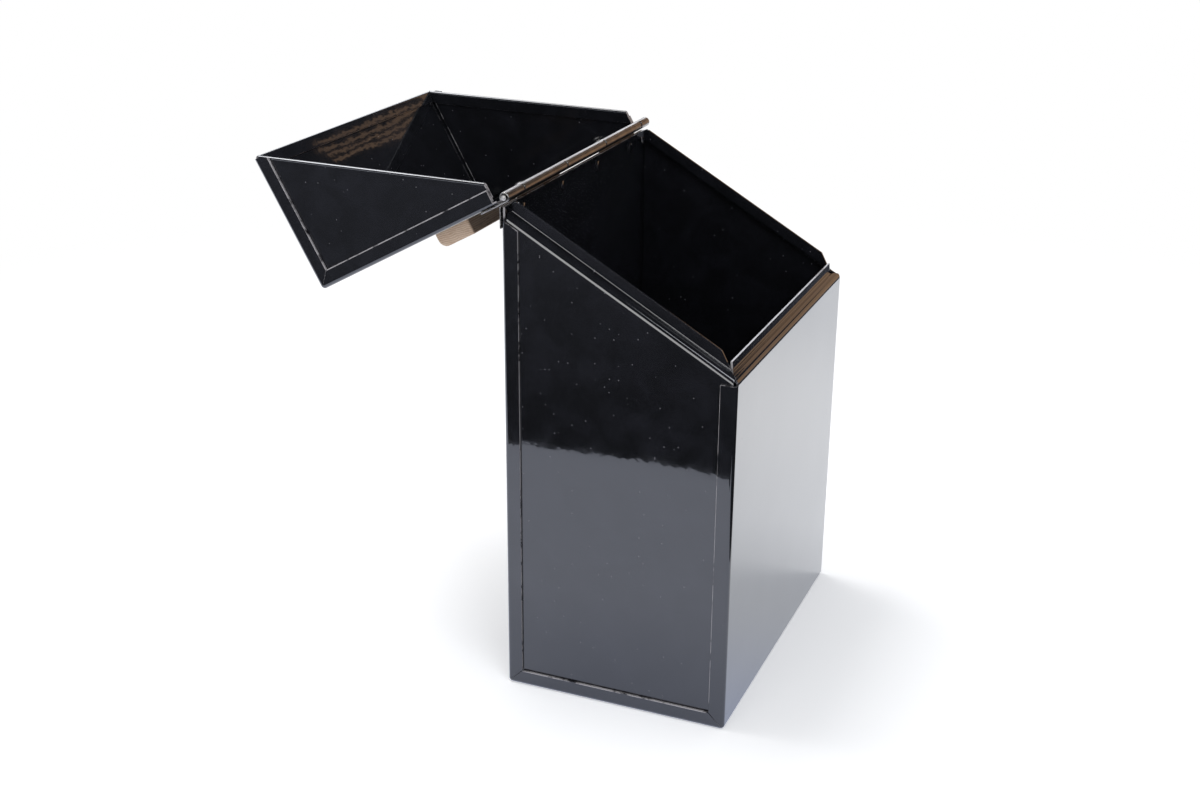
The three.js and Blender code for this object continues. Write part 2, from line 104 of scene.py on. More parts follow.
@dataclass(frozen=True)
class Sizes:
    """Sizes that several sub-assemblies share, in millimetres."""

    width: float = 180.0  # From the left face to the right one
    depth: float = 116.0  # From the front face to the back one
    height: float = 255.7  # Whole height with the lid closed
    front_drop: float = 74.0  # From the top down to the line of the ledges at the front face
    back_drop: float = 7.8  # The same at the back face
    sheet: float = 1.0  # Thickness of the enamelled sheet
    fold: float = 2.0  # Outside radius of its folds
    flange: float = 8.0  # Width of a side flange, from the face of its panel
    fit: float = 0.3  # Gap between pieces that touch in the real object
    slit: float = 0.4  # Width of the open mitre between two flanges
    spring: float = 0.07  # How far a flange's free edge leans in
    leaf: float = 0.8  # Thickness of a hinge leaf
    barrel: float = 2.5  # Outside radius of a knuckle
    relief: float = 4.7  # From the hinge axis to the edge of the cut-outs for the knuckles
    rivet_line: float = 10.0  # From the hinge axis to the row of rivets
    rivet_end: float = 22.0  # From a side to the nearest rivet
    rivets: int = 4  # Number of rivets in a leaf
    screw_pitch: float = 64.0  # From one screw of the grip to the other
    open_angle: float = 209.2  # Turn of the lid from closed to open, in degrees

    @property
    def front(self) -> float:
        """Y of the front face."""
        return -self.depth / 2

    @property
    def back(self) -> float:
        """Y of the back face."""
        return self.depth / 2

    @property
    def side(self) -> float:
        """X of the right face."""
        return self.width / 2

    @property
    def flat(self) -> float:
        """Half width of a panel between its two side folds."""
        return self.side - self.fold

    @property
    def cheek(self) -> float:
        """X of a side plate's outer face."""
        return self.side - self.sheet - self.fit

    @property
    def slope(self) -> float:
        """Angle of the opening above the horizontal, in radians."""
        return math.atan2(self.front_drop - self.back_drop, self.depth)

    @property
    def axis(self) -> tuple[float, float]:
        """Y and Z of the hinge axis."""
        inset = self.barrel - self.leaf - self.fit
        return self.back - inset, self.height - inset

    @property
    def rivet_places(self) -> Points:
        """X of each rivet."""
        reach = self.side - self.rivet_end
        return np.linspace(-reach, reach, self.rivets)

    def ledge(self, y: Points | float) -> Points | float:
        """Height of the side ledges at y: a straight line from the front to the back drop."""
        return self.height - self.front_drop + (y - self.front) * math.tan(self.slope)


@dataclass(frozen=True)
class Steps:
    """How finely the surfaces are divided: longest steps in millimetres, and angles."""

    panel: float = 9.0  # Step along the walls, and along X
    front_edge: float = 3.0  # Step on the straight parts of the front rim and the front hem
    # Step on the straight parts of a side plate's rim, which has a rounded end
    side_rim: float = 0.9
    side_hem: float = 1.5  # Step on the straight parts of a lid side's hem
    leaf: float = 3.0  # Step across a hinge leaf
    knuckle: float = 12.0  # Step along a knuckle
    bar: float = 4.0  # Step round the grip
    fold: float = 7.5  # Angle from line to line round a fold, in degrees
    # From an edge to the line beside it, which keeps the rounding of the edge tight
    support: float = 0.4
    weld: float = 0.002  # Points closer than this are one


S = Sizes()
STEP = Steps()

# Width of the painted highlight line along a flange's free edge, in millimetres.
SEAM_LINE = 0.5
# Share of a mitre's full opening that it has at the fold.
MITRE_START = 0.3
# Edges of a sheet that bend more than this are cut edges, in degrees.
CUT_EDGE = 50.0


# -------------------- shape functions


def stations(start: float, end: float, step: float = STEP.panel) -> Points:
    """Places from start to end in equal steps, with a support line close to each end.

    Args:
        start: First place.
        end: Last place.
        step: Longest step between places.

    Returns:
        The places, in order.
    """
    length = end - start
    if abs(length) < 4 * STEP.support:
        return np.array([start, end])
    near = math.copysign(STEP.support, length)
    inner = np.linspace(start + near, end - near, max(2, math.ceil(abs(length) / step) + 1))
    return np.concatenate(([start], inner, [end]))


def bent_line(corners: list[tuple[float, float]], radii: list[float],
              step: float = STEP.panel) -> Points:
    """A line through corners, each inner one rounded by an arc tangent to both its sides.

    An arc of angle w from direction a to direction b is
    centre + radius * (sin((1 - t) w) a + sin(t w) b) / sin(w) for t from 0 to 1.

    Args:
        corners: The corners as pairs of numbers.
        radii: The radius at each inner corner.
        step: Longest step on the straight parts.

    Returns:
        The points of the line, shape (n, 2).
    """
    turns = np.asarray(corners, float)
    parts: list[Points] = []
    reached = turns[0]
    for corner, behind, ahead, radius in zip(turns[1:-1], turns, turns[2:], radii):
        back = (behind - corner) / np.linalg.norm(behind - corner)
        on = (ahead - corner) / np.linalg.norm(ahead - corner)
        half = 0.5 * math.acos(float(np.clip(back @ on, -1, 1)))
        centre = corner + (back + on) / np.linalg.norm(back + on) * radius / math.sin(half)
        first = corner + back * radius / math.tan(half) - centre
        last = corner + on * radius / math.tan(half) - centre
        sweep = math.pi - 2 * half
        t = np.linspace(0, 1, max(2, round(sweep / math.radians(STEP.fold)) + 1))[:, None]
        parts.append(straight(reached, centre + first, step))
        parts.append(centre + (np.sin((1 - t) * sweep) * first
                               + np.sin(t * sweep) * last) / math.sin(sweep))
        reached = centre + last
    parts.append(straight(reached, turns[-1], step))
    line = np.concatenate(parts)
    fresh = np.linalg.norm(np.diff(line, axis=0), axis=1) > STEP.weld
    return line[np.concatenate(([True], fresh))]


def straight(start: Points, end: Points, step: float) -> Points:
    """Points of a straight line, start + (end - start) * t, at its stations.

    Args:
        start: First point.
        end: Last point.
        step: Longest step between points.

    Returns:
        The points, or the first one alone where the two are the same.
    """
    length = float(np.linalg.norm(end - start))
    if length < STEP.weld:
        return start[None, :]
    return start + (end - start) * stations(0, length, step)[:, None] / length


def grid_of(x: Points | float, y: Points | float, z: Points | float) -> Points:
    """A grid of points, shape (rows, columns, 3), from three arrays that fit each other."""
    return np.stack(np.broadcast_arrays(x, y, z), axis=-1).astype(float)


def shares_of(rows: Points) -> Points:
    """How far each row lies between the first and the last, from 0 to 1, as a column."""
    return (rows - rows[0])[:, None] / (rows[-1] - rows[0])


def bowed(depth: float, share: Points, rise: Points) -> Points:
    """How far a wall is bowed in: depth * sin(pi a) * sin(pi b) for the shares a and b."""
    return depth * np.sin(np.pi * share) * np.sin(np.pi * rise)


def opened(points: Points) -> Points:
    """Turns points of the closed lid about the hinge axis to the open lid.

    Args:
        points: The points, their last axis x, y and z.

    Returns:
        (x, y0 + y cos w - z sin w, z0 + y sin w + z cos w), with y and z from the axis.
    """
    y0, z0 = S.axis
    turn = -math.radians(S.open_angle)
    y, z = points[..., 1] - y0, points[..., 2] - z0
    return grid_of(points[..., 0], y0 + y * math.cos(turn) - z * math.sin(turn),
                   z0 + y * math.sin(turn) + z * math.cos(turn))


@dataclass
class Skin:
    """The outer face of a folded sheet: grids of points that share their edges."""

    inside: Place  # A point on the inner side of every grid, which decides how they face
    # The grids, each of shape (rows, columns, 3)
    grids: list[Points] = field(default_factory=list)
    # For each grid, 1 at the faces that get the painted highlight, else 0
    marks: list[npt.NDArray[np.int32]] = field(default_factory=list)

    def add(self, grid: Points, both: bool = False, inside: Place | None = None,
            painted_edge: PaintedEdge = PaintedEdge.NONE) -> None:
        """Adds a grid facing away from a point inside it.

        Args:
            grid: The grid's points.
            both: Whether its mirror image across X = 0 is added as well.
            inside: The point, where it isn't the skin's own.
            painted_edge: Which line of its faces gets the painted highlight.
        """
        corner = grid[:-1, :-1]
        facing = np.cross(grid[1:, :-1] - corner, grid[:-1, 1:] - corner)
        out = float(np.sum(facing * (corner - np.array(inside or self.inside))))
        mark = np.zeros(corner.shape[:2], np.int32)
        mark[:, -1] = painted_edge is PaintedEdge.LAST_COLUMN
        mark[0] = np.maximum(mark[0], painted_edge is PaintedEdge.FIRST_ROW)
        self.grids.append(grid if out > 0 else grid[:, ::-1])
        self.marks.append(mark if out > 0 else mark[:, ::-1])
        if both:
            self.add(grid * np.array([-1.0, 1.0, 1.0]), painted_edge=painted_edge)

    def welded(self) -> tuple[Points, npt.NDArray[np.int64]]:
        """Joins the grids where their points coincide.

        Returns:
            The points and the faces as rows of four indices.
        """
        faces, start = [], 0
        for grid in self.grids:
            index = np.arange(grid[..., 0].size).reshape(grid.shape[:2]) + start
            start += index.size
            faces.append(np.stack([index[:-1, :-1], index[1:, :-1], index[1:, 1:],
                                   index[:-1, 1:]], axis=-1).reshape(-1, 4))
        points = np.concatenate([grid.reshape(-1, 3) for grid in self.grids])
        # The odd shift keeps round numbers off the borders between two keys.
        keys = np.floor(points / STEP.weld + 0.37).astype(np.int64)
        _, first, twin = np.unique(keys, axis=0, return_index=True, return_inverse=True)
        return points[first], twin.reshape(-1)[np.concatenate(faces)]


@dataclass(frozen=True)
class Panel:
    """A flat panel of a folded strip that runs across the whole width."""

    along: int  # Axis number of the direction in which the panel's rows follow each other
    across: int  # Axis number of the direction square to the panel
    face: float  # Place of the outer face on that axis
    inward: float  # 1 or -1, the direction from the outer face into the object

    def place(self, x: Points | float, depth: Points | float, row: Points | float) -> Points:
        """Puts points onto the panel.

        Args:
            x: X of the points.
            depth: How far they lie inwards from the outer face.
            row: Their places in the direction of the rows.

        Returns:
            Their grid.
        """
        parts: list[Any] = [x, None, None]
        parts[self.across] = self.face + self.inward * np.asarray(depth, float)
        parts[self.along] = row
        return grid_of(*parts)

    def middle(self, rows: Points, bow: float) -> Points:
        """The panel between its folds.

        Args:
            rows: Its rows.
            bow: How far its middle is bowed inwards.

        Returns:
            The grid.
        """
        share = panel_shares()
        return self.place(S.flat * share, bowed(bow, shares_of(rows), (1 + share) / 2),
                          rows[:, None])

    def wing(self, rows: Points, low: Limit, high: Limit, line: float) -> Points:
        """The right side fold, a quarter round about the panel's edge, and its flange.

        The fold is x = flat + r sin a, depth = r (1 - cos a); the flange goes on close to the
        side's plane, and its rows are spread between two limits that depend on the depth.

        Args:
            rows: The panel's own rows.
            low: First row of the flange at each depth.
            high: Last row of the flange at each depth.
            line: Width of the flange's last column.

        Returns:
            The grid of the fold and the flange.
        """
        angle = fold_angles()
        deep = np.concatenate((np.linspace(S.fold, S.flange - line, 3)[1:], [S.flange]))
        lean = S.spring * (deep - S.fold) / (S.flange - S.fold)
        x = np.concatenate((S.flat + S.fold * np.sin(angle), S.side - lean))
        depth = np.concatenate((S.fold * (1 - np.cos(angle)), deep))
        first = np.where(depth > S.fold - STEP.weld, low(depth), rows[0])
        last = np.where(depth > S.fold - STEP.weld, high(depth), rows[-1])
        return self.place(x[None, :], depth[None, :], first + shares_of(rows) * (last - first))

    def join(self, skin: Skin, rows: Points, bow: float, low: Limit, high: Limit,
             line: float = SEAM_LINE, painted_edge: PaintedEdge = PaintedEdge.LAST_COLUMN) -> None:
        """Adds the panel, bowed inwards, and both its side folds and flanges to a skin."""
        skin.add(self.middle(rows, bow))
        skin.add(self.wing(rows, low, high, line), both=True, painted_edge=painted_edge)

    def tongue(self, rows: Points) -> Points:
        """The panel past the end of its flanges, with the outer layer of both side folds.

        Args:
            rows: The rows of this part of the panel.

        Returns:
            The grid.
        """
        angle = fold_angles()
        angle = angle[S.fold * (1 - np.cos(angle)) < S.sheet + STEP.weld][1:]
        reach = S.flat + S.fold * np.sin(angle)
        depth = S.fold * (1 - np.cos(angle))
        middle = stations(-S.flat, S.flat)
        x = np.concatenate((-reach[::-1], middle, reach))
        inset = np.concatenate((depth[::-1], 0 * middle, depth))
        return self.place(x[None, :], inset[None, :], rows[:, None])


def panel_shares() -> Points:
    """Shares of the half width, from -1 to 1, at which the panels have their lines."""
    return (stations(-S.flat, S.flat) / S.flat)[None, :]


def fold_angles() -> Points:
    """Angles of a quarter round, in equal steps."""
    return np.linspace(0, np.pi / 2, round(90 / STEP.fold) + 1)


def strip_fold(skin: Skin, y: float, z: float, start: float) -> None:
    """A fold from panel to panel about the line (y, z), with a round corner at each end.

    The fold is (x, y + r cos b, z + r sin b) for b over a quarter turn from start. Its corners
    are parts of a sphere, (flat + r sin a, y + r cos a cos b, z + r cos a sin b), which stop
    short of the pole, where the slit between the flanges begins.

    Args:
        skin: The skin that gets the fold.
        y: Y of the fold's axis.
        z: Z of the fold's axis.
        start: Angle b at which the fold starts, in radians.
    """
    turn = (start + fold_angles())[:, None]
    skin.add(grid_of(stations(-S.flat, S.flat)[None, :], y + S.fold * np.cos(turn),
                     z + S.fold * np.sin(turn)))
    tip = fold_angles()[None, :-1]
    skin.add(grid_of(S.flat + S.fold * np.sin(tip), y + S.fold * np.cos(tip) * np.cos(turn),
                     z + S.fold * np.cos(tip) * np.sin(turn)), both=True)


def mitre(corner: float, sign: float) -> Limit:
    """Limit of a flange at a mitred corner: 45 degrees, and half the slit's width off it.

    Args:
        corner: Row of the corner.
        sign: 1 where the flange starts at the corner, -1 where it ends there.

    Returns:
        The limit, corner + sign * (depth + slit / sqrt(2) * opening), where the opening grows
        along a straight line to 1 at the flange's edge.
    """
    def limit(depth: Points) -> Points:
        """The row at a depth."""
        opening = MITRE_START + (1 - MITRE_START) * (depth - S.fold) / (S.flange - S.fold)
        return corner + sign * (depth + S.slit / math.sqrt(2) * opening)
    return limit


def level(row: float) -> Limit:
    """Limit of a flange that is cut off square at a row."""
    return lambda depth: row + 0 * depth


def closed_loop(low: tuple[float, float], high: tuple[float, float],
                radii: list[float]) -> Points:
    """A rectangle with rounded corners as a closed loop of points, its first not repeated.

    Args:
        low: The corner with the lowest numbers.
        high: The corner across from it.
        radii: Rounding of the corners, from the low one on in the direction of the loop.

    Returns:
        The points, shape (n, 2).
    """
    (a, b), (c, d) = low, high
    middle = (0.5 * (a + c), b)
    corners = [middle, (c, b), (c, d), (a, d), (a, b), middle]
    return bent_line(corners, [radii[1], radii[2], radii[3], radii[0]], STEP.bar)[:-1]


def turned(profile: Points, segments: int) -> Points:
    """Rings of a turned piece: (r cos a, r sin a, h) for each (r, h) of the profile.

    Args:
        profile: The profile's points (r, h), shape (n, 2).
        segments: Points round each ring.

    Returns:
        The rings, shape (n, segments, 3).
    """
    angle = np.linspace(0, 2 * np.pi, segments, endpoint=False)[None, :]
    radius, height = profile[:, :1], profile[:, 1:]
    return grid_of(radius * np.cos(angle), radius * np.sin(angle), height + 0 * angle)


# -------------------- into Blender


def linked(name: str, data: Any) -> Thing:
    """Makes an object and links it into the scene.

    Args:
        name: Its name.
        data: Its mesh, lamp or camera.

    Returns:
        The new object.
    """
    made = bpy.data.objects.new(name, data)
    bpy.context.scene.collection.objects.link(made)
    return made


def new_object(name: str, body: Body, points: Points, faces: list[Any],
               material: Material) -> Thing:
    """Makes a smooth-shaded mesh object in metres, with its place in the mesh.

    Args:
        name: Name of the object and its mesh.
        body: The body that it belongs to. The lid's points are turned open.
        points: Its points in millimetres, shape (n, 3), with the lid closed.
        faces: Its faces, as rows of indices.
        material: Its finish.

    Returns:
        The new object.
    """
    mesh = bpy.data.meshes.new(name)
    shown = opened(points) if body is Body.LID else points
    mesh.from_pydata((shown * MM).tolist(), [], faces)
    mesh.materials.append(material)
    mesh.polygons.foreach_set("use_smooth", np.ones(len(mesh.polygons), bool))
    mesh.update()
    return linked(name, mesh)


def sheet_object(name: str, body: Body, skin: Skin, thickness: float, edge: float,
                 finishes: tuple[Material, ...]) -> Thing:
    """A folded sheet: its skin thickened inwards, with the cut edges slightly rounded.

    Args:
        name: Name of the object.
        body: The body that it belongs to.
        skin: Its outer face.
        thickness: Thickness of the sheet.
        edge: Rounding of the cut edges.
        finishes: The finish of its faces and, where that differs, the painted highlight of its
            cut edges.

    Returns:
        The new object.
    """
    points, faces = skin.welded()
    made = new_object(name, body, points, faces.tolist(), finishes[0])
    # Marked faces, rims and rounded cut edges get the last finish: the painted highlight where
    # there is one.
    for other in finishes[1:]:
        made.data.materials.append(other)
        made.data.polygons.foreach_set(
            "material_index", np.concatenate([mark.reshape(-1) for mark in skin.marks]))
    solidify = made.modifiers.new("thickness", "SOLIDIFY")
    solidify.thickness = thickness * MM
    solidify.offset = -1
    solidify.use_even_offset = True
    solidify.material_offset_rim = len(finishes) - 1
    bevel = made.modifiers.new("cut edges", "BEVEL")
    bevel.width = edge * MM
    bevel.segments = 2
    bevel.limit_method = "ANGLE"
    bevel.angle_limit = math.radians(CUT_EDGE)
    bevel.material = len(finishes) - 1
    weighted = made.modifiers.new("flat faces stay flat", "WEIGHTED_NORMAL")
    weighted.weight = 80
    return made


def ringed_object(name: str, body: Body, rings: Points, material: Material,
                  sharp: float = 35.0) -> Thing:
    """A closed piece from rings of points, with a flat face over its first and last ring.

    Args:
        name: Name of the object.
        body: The body that it belongs to.
        rings: The rings, shape (rings, points round, 3).
        material: Its finish.
        sharp: Edges that bend more than this angle, in degrees, stay sharp.

    Returns:
        The new object.
    """
    index = np.arange(rings[..., 0].size).reshape(rings.shape[:2])
    ahead = np.roll(index, -1, axis=1)
    sides = np.stack([index[:-1], ahead[:-1], ahead[1:], index[1:]], axis=-1).reshape(-1, 4)
    faces = [*sides.tolist(), index[0, ::-1].tolist(), index[-1].tolist()]
    corner = rings[:-1]
    facing = np.cross(np.roll(corner, -1, axis=1) - corner, rings[1:] - corner)
    if float(np.sum(facing * (corner - rings.mean(axis=(0, 1))))) < 0:
        faces = [face[::-1] for face in faces]
    made = new_object(name, body, rings.reshape(-1, 3), faces, material)
    made.data.set_sharp_from_angle(angle=math.radians(sharp))
    return made


def refinish(made: Thing, finish: Material, *spans: slice) -> None:
    """Gives some of a piece's faces a second finish.

    Args:
        made: The piece.
        finish: The second finish.
        spans: The faces, by their numbers.
    """
    made.data.materials.append(finish)
    second = np.zeros(len(made.data.polygons), np.int32)
    for span in spans:
        second[span] = 1
    made.data.polygons.foreach_set("material_index", second)


def settle(made: Thing, body: Body, slot: Slot, *nodes: str) -> None:
    """Lets a piece ride on its body and stand for its CAD nodes, and reports it.

    Args:
        made: The piece.
        body: The body that it rides on.
        slot: The material slot of the piece; not used.
        nodes: The CAD nodes that it stands for.
    """
    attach(made, body.value)
    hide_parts(*nodes)
    log.info("%s: %d faces, on %s", made.name, len(made.data.polygons), body.value)


# -------------------- materials


def colour(code: str) -> Colour:
    """A linear colour from a hex code: each channel is c / 12.92 or ((c + .055) / 1.055) ^ 2.4.

    Args:
        code: The sRGB colour as a hex code.

    Returns:
        Red, green, blue and an alpha of 1.
    """
    parts = [int(code[i:i + 2], 16) / 255 for i in (1, 3, 5)]
    linear = [c / 12.92 if c <= 0.04045 else ((c + 0.055) / 1.055) ** 2.4 for c in parts]
    return (*linear, 1.0)


def per_metre(size: float) -> float:
    """Scale of a pattern on Object coordinates, from its spacing in millimetres."""
    return 1 / (size * MM)


def add_node(tree: Tree, kind: str, inputs: dict[Any, Any] | None = None,
             stops: tuple[Stop, ...] = (), **settings: Any) -> Node:
    """Adds a node with its settings, socket values and links.

    Args:
        tree: The node tree.
        kind: The node's type name, without its ShaderNode start.
        inputs: Value of each input, by name or number. A node stands for its first output, and
            a pair of a node and an output's name or number for that output.
        stops: Place and hex colour of each stop, where the node is a colour ramp.
        settings: Properties of the node.

    Returns:
        The new node.
    """
    made = tree.nodes.new("ShaderNode" + kind)
    for key, value in settings.items():
        setattr(made, key, value)
    for number, (place, code) in enumerate(stops):
        made.color_ramp.elements[number].position = place
        made.color_ramp.elements[number].color = colour(code)
    for key, value in (inputs or {}).items():
        if isinstance(value, Node):
            tree.links.new(value.outputs[0], made.inputs[key])
        elif isinstance(value, tuple) and isinstance(value[0], Node):
            tree.links.new(value[0].outputs[value[1]], made.inputs[key])
        else:
            made.inputs[key].default_value = value
    return made


def new_material(name: str) -> tuple[Material, Tree]:
    """Makes an empty node material.

    Args:
        name: Its name.

    Returns:
        The material and its node tree.
    """
    made = bpy.data.materials.new(name)
    made.use_nodes = True
    made.node_tree.nodes.clear()
    return made, made.node_tree


class Finish:
    """A node material whose patterns lie on Object coordinates."""

    title: ClassVar[str]

    def build(self) -> Material:
        """Makes the material.

        Returns:
            The material.
        """
        made, tree = new_material(self.title)
        node = partial(add_node, tree)
        place = (node("TexCoord"), "Object")
        node("OutputMaterial", {"Surface": self.shader(node, place)})
        return made

    def shader(self, node: AddNode, place: Socket) -> Node:
        """Adds the finish's own nodes, which start from the place, and gives its shader."""
        raise NotImplementedError


@dataclass(frozen=True)
class Enamel(Finish):
    """Gloss black enamel baked on steel: a deep black with a clear, slightly wavy gloss."""

    body: str = "#151619"  # Colour under the gloss
    haze: str = "#1e1f24"  # Colour where handling has left a faint haze
    dust: str = "#6a696f"  # Colour of the dust specks
    smear: float = 16.667  # Spacing of the hazy smears, in millimetres
    # Spacing of the dust specks, drawn coarser than real dust so that they show
    specks: float = 2.3256
    # Spacing and depth in millimetres, and noise detail, of the sheet's slow waves, which bend
    # reflections, of the coat's ripple and of its orange peel, drawn coarser than real
    waves: tuple[Place, ...] = (
        (45.455, 0.12, 1.0), (5.5556, 0.014, 1.0), (2.0833, 0.003, 2.0))
    title: ClassVar[str] = "black_gloss_enamel"

    def shader(self, node: AddNode, place: Socket) -> Node:
        """Haze and specks under a coat that three noises bend, one on the other.

        Args:
            node: Adds a node to the material's tree.
            place: The output that gives the Object coordinates.

        Returns:
            The shader.
        """
        smear = node("TexNoise", {
            "Vector": place, "Scale": per_metre(self.smear), "Detail": 4.0, "Roughness": 0.65,
            "Distortion": 0.6})
        cells = node("TexVoronoi", {"Vector": place, "Scale": per_metre(self.specks)})
        speck = node("MapRange", {
            "Value": (cells, "Distance"), "From Min": 0.06, "From Max": 0.15,
            "To Min": 1.0, "To Max": 0.0})
        chance = node("Math", {0: (cells, "Color"), 1: 0.84}, operation="GREATER_THAN")
        dusty = node("Math", {0: speck, 1: chance}, operation="MULTIPLY")
        base = node("ValToRGB", {"Fac": smear}, ((0.40, self.body), (0.72, self.haze)))
        tint = node("Mix", {"Factor": dusty, 6: base, 7: colour(self.dust)}, data_type="RGBA")
        rough = node("MapRange", {
            "Value": smear, "From Min": 0.35, "From Max": 0.75, "To Min": 0.035, "To Max": 0.085})
        dull = node("Math", {0: rough, 1: dusty}, operation="MAXIMUM")
        bent: dict[str, Any] = {}
        for size, depth, detail in self.waves:
            wave = node("TexNoise", {
                "Vector": place, "Scale": per_metre(size), "Detail": detail})
            bent = {"Normal": node("Bump", {"Height": wave, "Distance": depth * MM, **bent})}
        return node("BsdfPrincipled", {
            "Base Color": (tint, 2), "Roughness": dull, "IOR": 1.55, "Coat Weight": 1.0,
            "Coat Roughness": 0.02, "Coat IOR": 1.55, "Coat Normal": bent["Normal"], **bent})


@dataclass(frozen=True)
class Mottled(Finish):
    """A finish in two colours, with spots that are duller and a little raised or sunk."""

    colours: tuple[Stop, ...]  # Place on the noise and hex colour of the one colour and the other
    spots: float  # Spacing of the spots, in millimetres
    noise: tuple[float, float]  # Detail and roughness of the noise that draws them
    # Low and high end of the noise, and the roughness of the surface there
    dull: tuple[float, float, float, float]
    relief: float  # Depth of the relief, in millimetres
    surface: tuple[tuple[str, float], ...] = (("Metallic", 1.0),)  # Further inputs of the surface
    # Length and spacing of drawn lines that take the place of the spots in dullness and relief,
    # in millimetres, or none
    lines: tuple[float, ...] = ()

    def shader(self, node: AddNode, place: Socket) -> Node:
        """Spots set the colour, and spots or lines set the roughness and the relief.

        Args:
            node: Adds a node to the material's tree.
            place: The output that gives the Object coordinates.

        Returns:
            The shader.
        """
        spots = marks = node("TexNoise", {
            "Vector": place, "Scale": per_metre(self.spots), "Detail": self.noise[0],
            "Roughness": self.noise[1]})
        if self.lines:
            along, across = map(per_metre, self.lines)
            drawn = node("Mapping", {"Vector": place, "Scale": (along, across, across)})
            marks = node("TexNoise", {"Vector": drawn, "Scale": 1.0, "Detail": 3.0})
        base = node("ValToRGB", {"Fac": spots}, self.colours)
        ends = dict(zip(("From Min", "From Max", "To Min", "To Max"), self.dull))
        rough = node("MapRange", {"Value": marks, **ends})
        relief = node("Bump", {"Height": marks, "Distance": self.relief * MM})
        return node("BsdfPrincipled", {
            "Base Color": base, "Roughness": rough, "Normal": relief, **dict(self.surface)})


@dataclass(frozen=True)
class CutEdgeHighlight(Mottled):
    """Painted highlight along a cut edge: light grey dashes, drawn as if a grey ground showed
    through thin enamel.
    """

    title: ClassVar[str] = "cut_edge_painted_highlight"
    # Light grey of the painted highlight, and the dark grey between its dashes
    colours: tuple[Stop, ...] = ((0.50, "#a09da0"), (0.63, "#29282b"))
    spots: float = 9.0909
    noise: tuple[float, float] = (3.0, 0.7)
    dull: tuple[float, float, float, float] = (0.5, 0.7, 0.35, 0.1)
    relief: float = 0.02
    surface: tuple[tuple[str, float], ...] = (("Coat Weight", 0.6), ("Coat Roughness", 0.05))


@dataclass(frozen=True)
class BrightSteel(Mottled):
    """Uncoated rolled steel of the hinge: fine draw lines along X and a soft sheen.

    The lines are drawn coarser than the real ones, so that they show.
    """

    title: ClassVar[str] = "bright_rolled_steel"
    colours: tuple[Stop, ...] = ((0.35, "#b0aeab"), (0.75, "#8a8784"))
    spots: float = 7.6923
    noise: tuple[float, float] = (5.0, 0.6)
    dull: tuple[float, float, float, float] = (0.3, 0.7, 0.22, 0.38)
    relief: float = 0.004
    lines: tuple[float, ...] = (55.556, 1.1111)


@dataclass(frozen=True)
class ZincedSteel(Mottled):
    """Zinc-plated rivets and peened pin ends: a duller grey with a mottled bloom."""

    title: ClassVar[str] = "zinc_plated_steel"
    colours: tuple[Stop, ...] = ((0.35, "#e6e4e0"), (0.70, "#c2bfba"))
    spots: float = 1.1111
    noise: tuple[float, float] = (4.0, 0.7)
    dull: tuple[float, float, float, float] = (0.3, 0.7, 0.42, 0.58)
    relief: float = 0.01


@dataclass(frozen=True)
class SandedWood(Finish):
    """Sanded pale hardwood: long grain along X, fine pores and a dry, low sheen."""

    early: str = "#e9d3bf"  # Colour of the pale wood between the grain lines
    late: str = "#c9a78a"  # Colour of the grain lines
    pore: str = "#8a6a55"  # Colour of the pores
    # Spacing of the grain along each axis, in millimetres
    grain: Place = (166.67, 11.111, 7.6923)
    # Turn of the grain about each axis, in radians
    tilt: Place = (0.5, 0.02, 0.03)
    # Spacing of the pores along each axis, drawn coarser than real ones to show
    pores: Place = (6.25, 0.43478, 0.43478)
    relief: float = 0.06  # Depth of the pores
    title: ClassVar[str] = "sanded_pale_wood"

    def shader(self, node: AddNode, place: Socket) -> Node:
        """Growth rings mixed with a noise set the colour; stretched pores are cut into it.

        Args:
            node: Adds a node to the material's tree.
            place: The output that gives the Object coordinates.

        Returns:
            The shader.
        """
        grown = node("Mapping", {
            "Vector": place, "Scale": tuple(map(per_metre, self.grain)), "Rotation": self.tilt})
        figure = node("TexNoise", {
            "Vector": grown, "Scale": 2.2, "Detail": 3.0, "Distortion": 0.8})
        rings = node("TexWave", {
            "Vector": grown, "Scale": 2.6, "Distortion": 5.0, "Detail": 2.0,
            "Detail Scale": 0.7}, wave_type="BANDS", bands_direction="Z")
        both = node("Mix", {"Factor": 0.45, 2: figure, 3: (rings, "Fac")}, data_type="FLOAT")
        base = node("ValToRGB", {"Fac": both}, ((0.25, self.early), (0.80, self.late)))
        stretched = node("Mapping", {
            "Vector": place, "Scale": tuple(map(per_metre, self.pores))})
        pores = node("TexNoise", {"Vector": stretched, "Scale": 1.0, "Detail": 2.0})
        open_pore = node("MapRange", {
            "Value": pores, "From Min": 0.60, "From Max": 0.72, "To Min": 0.0, "To Max": 0.7})
        tint = node("Mix", {"Factor": open_pore, 6: base, 7: colour(self.pore)}, data_type="RGBA")
        rough = node("MapRange", {
            "Value": both, "From Min": 0.2, "From Max": 0.8, "To Min": 0.5, "To Max": 0.7})
        relief = node("Bump", {"Height": open_pore, "Distance": self.relief * MM}, invert=True)
        return node("BsdfPrincipled", {
            "Base Color": (tint, 2), "Roughness": rough, "Normal": relief})


# -------------------- the box's body


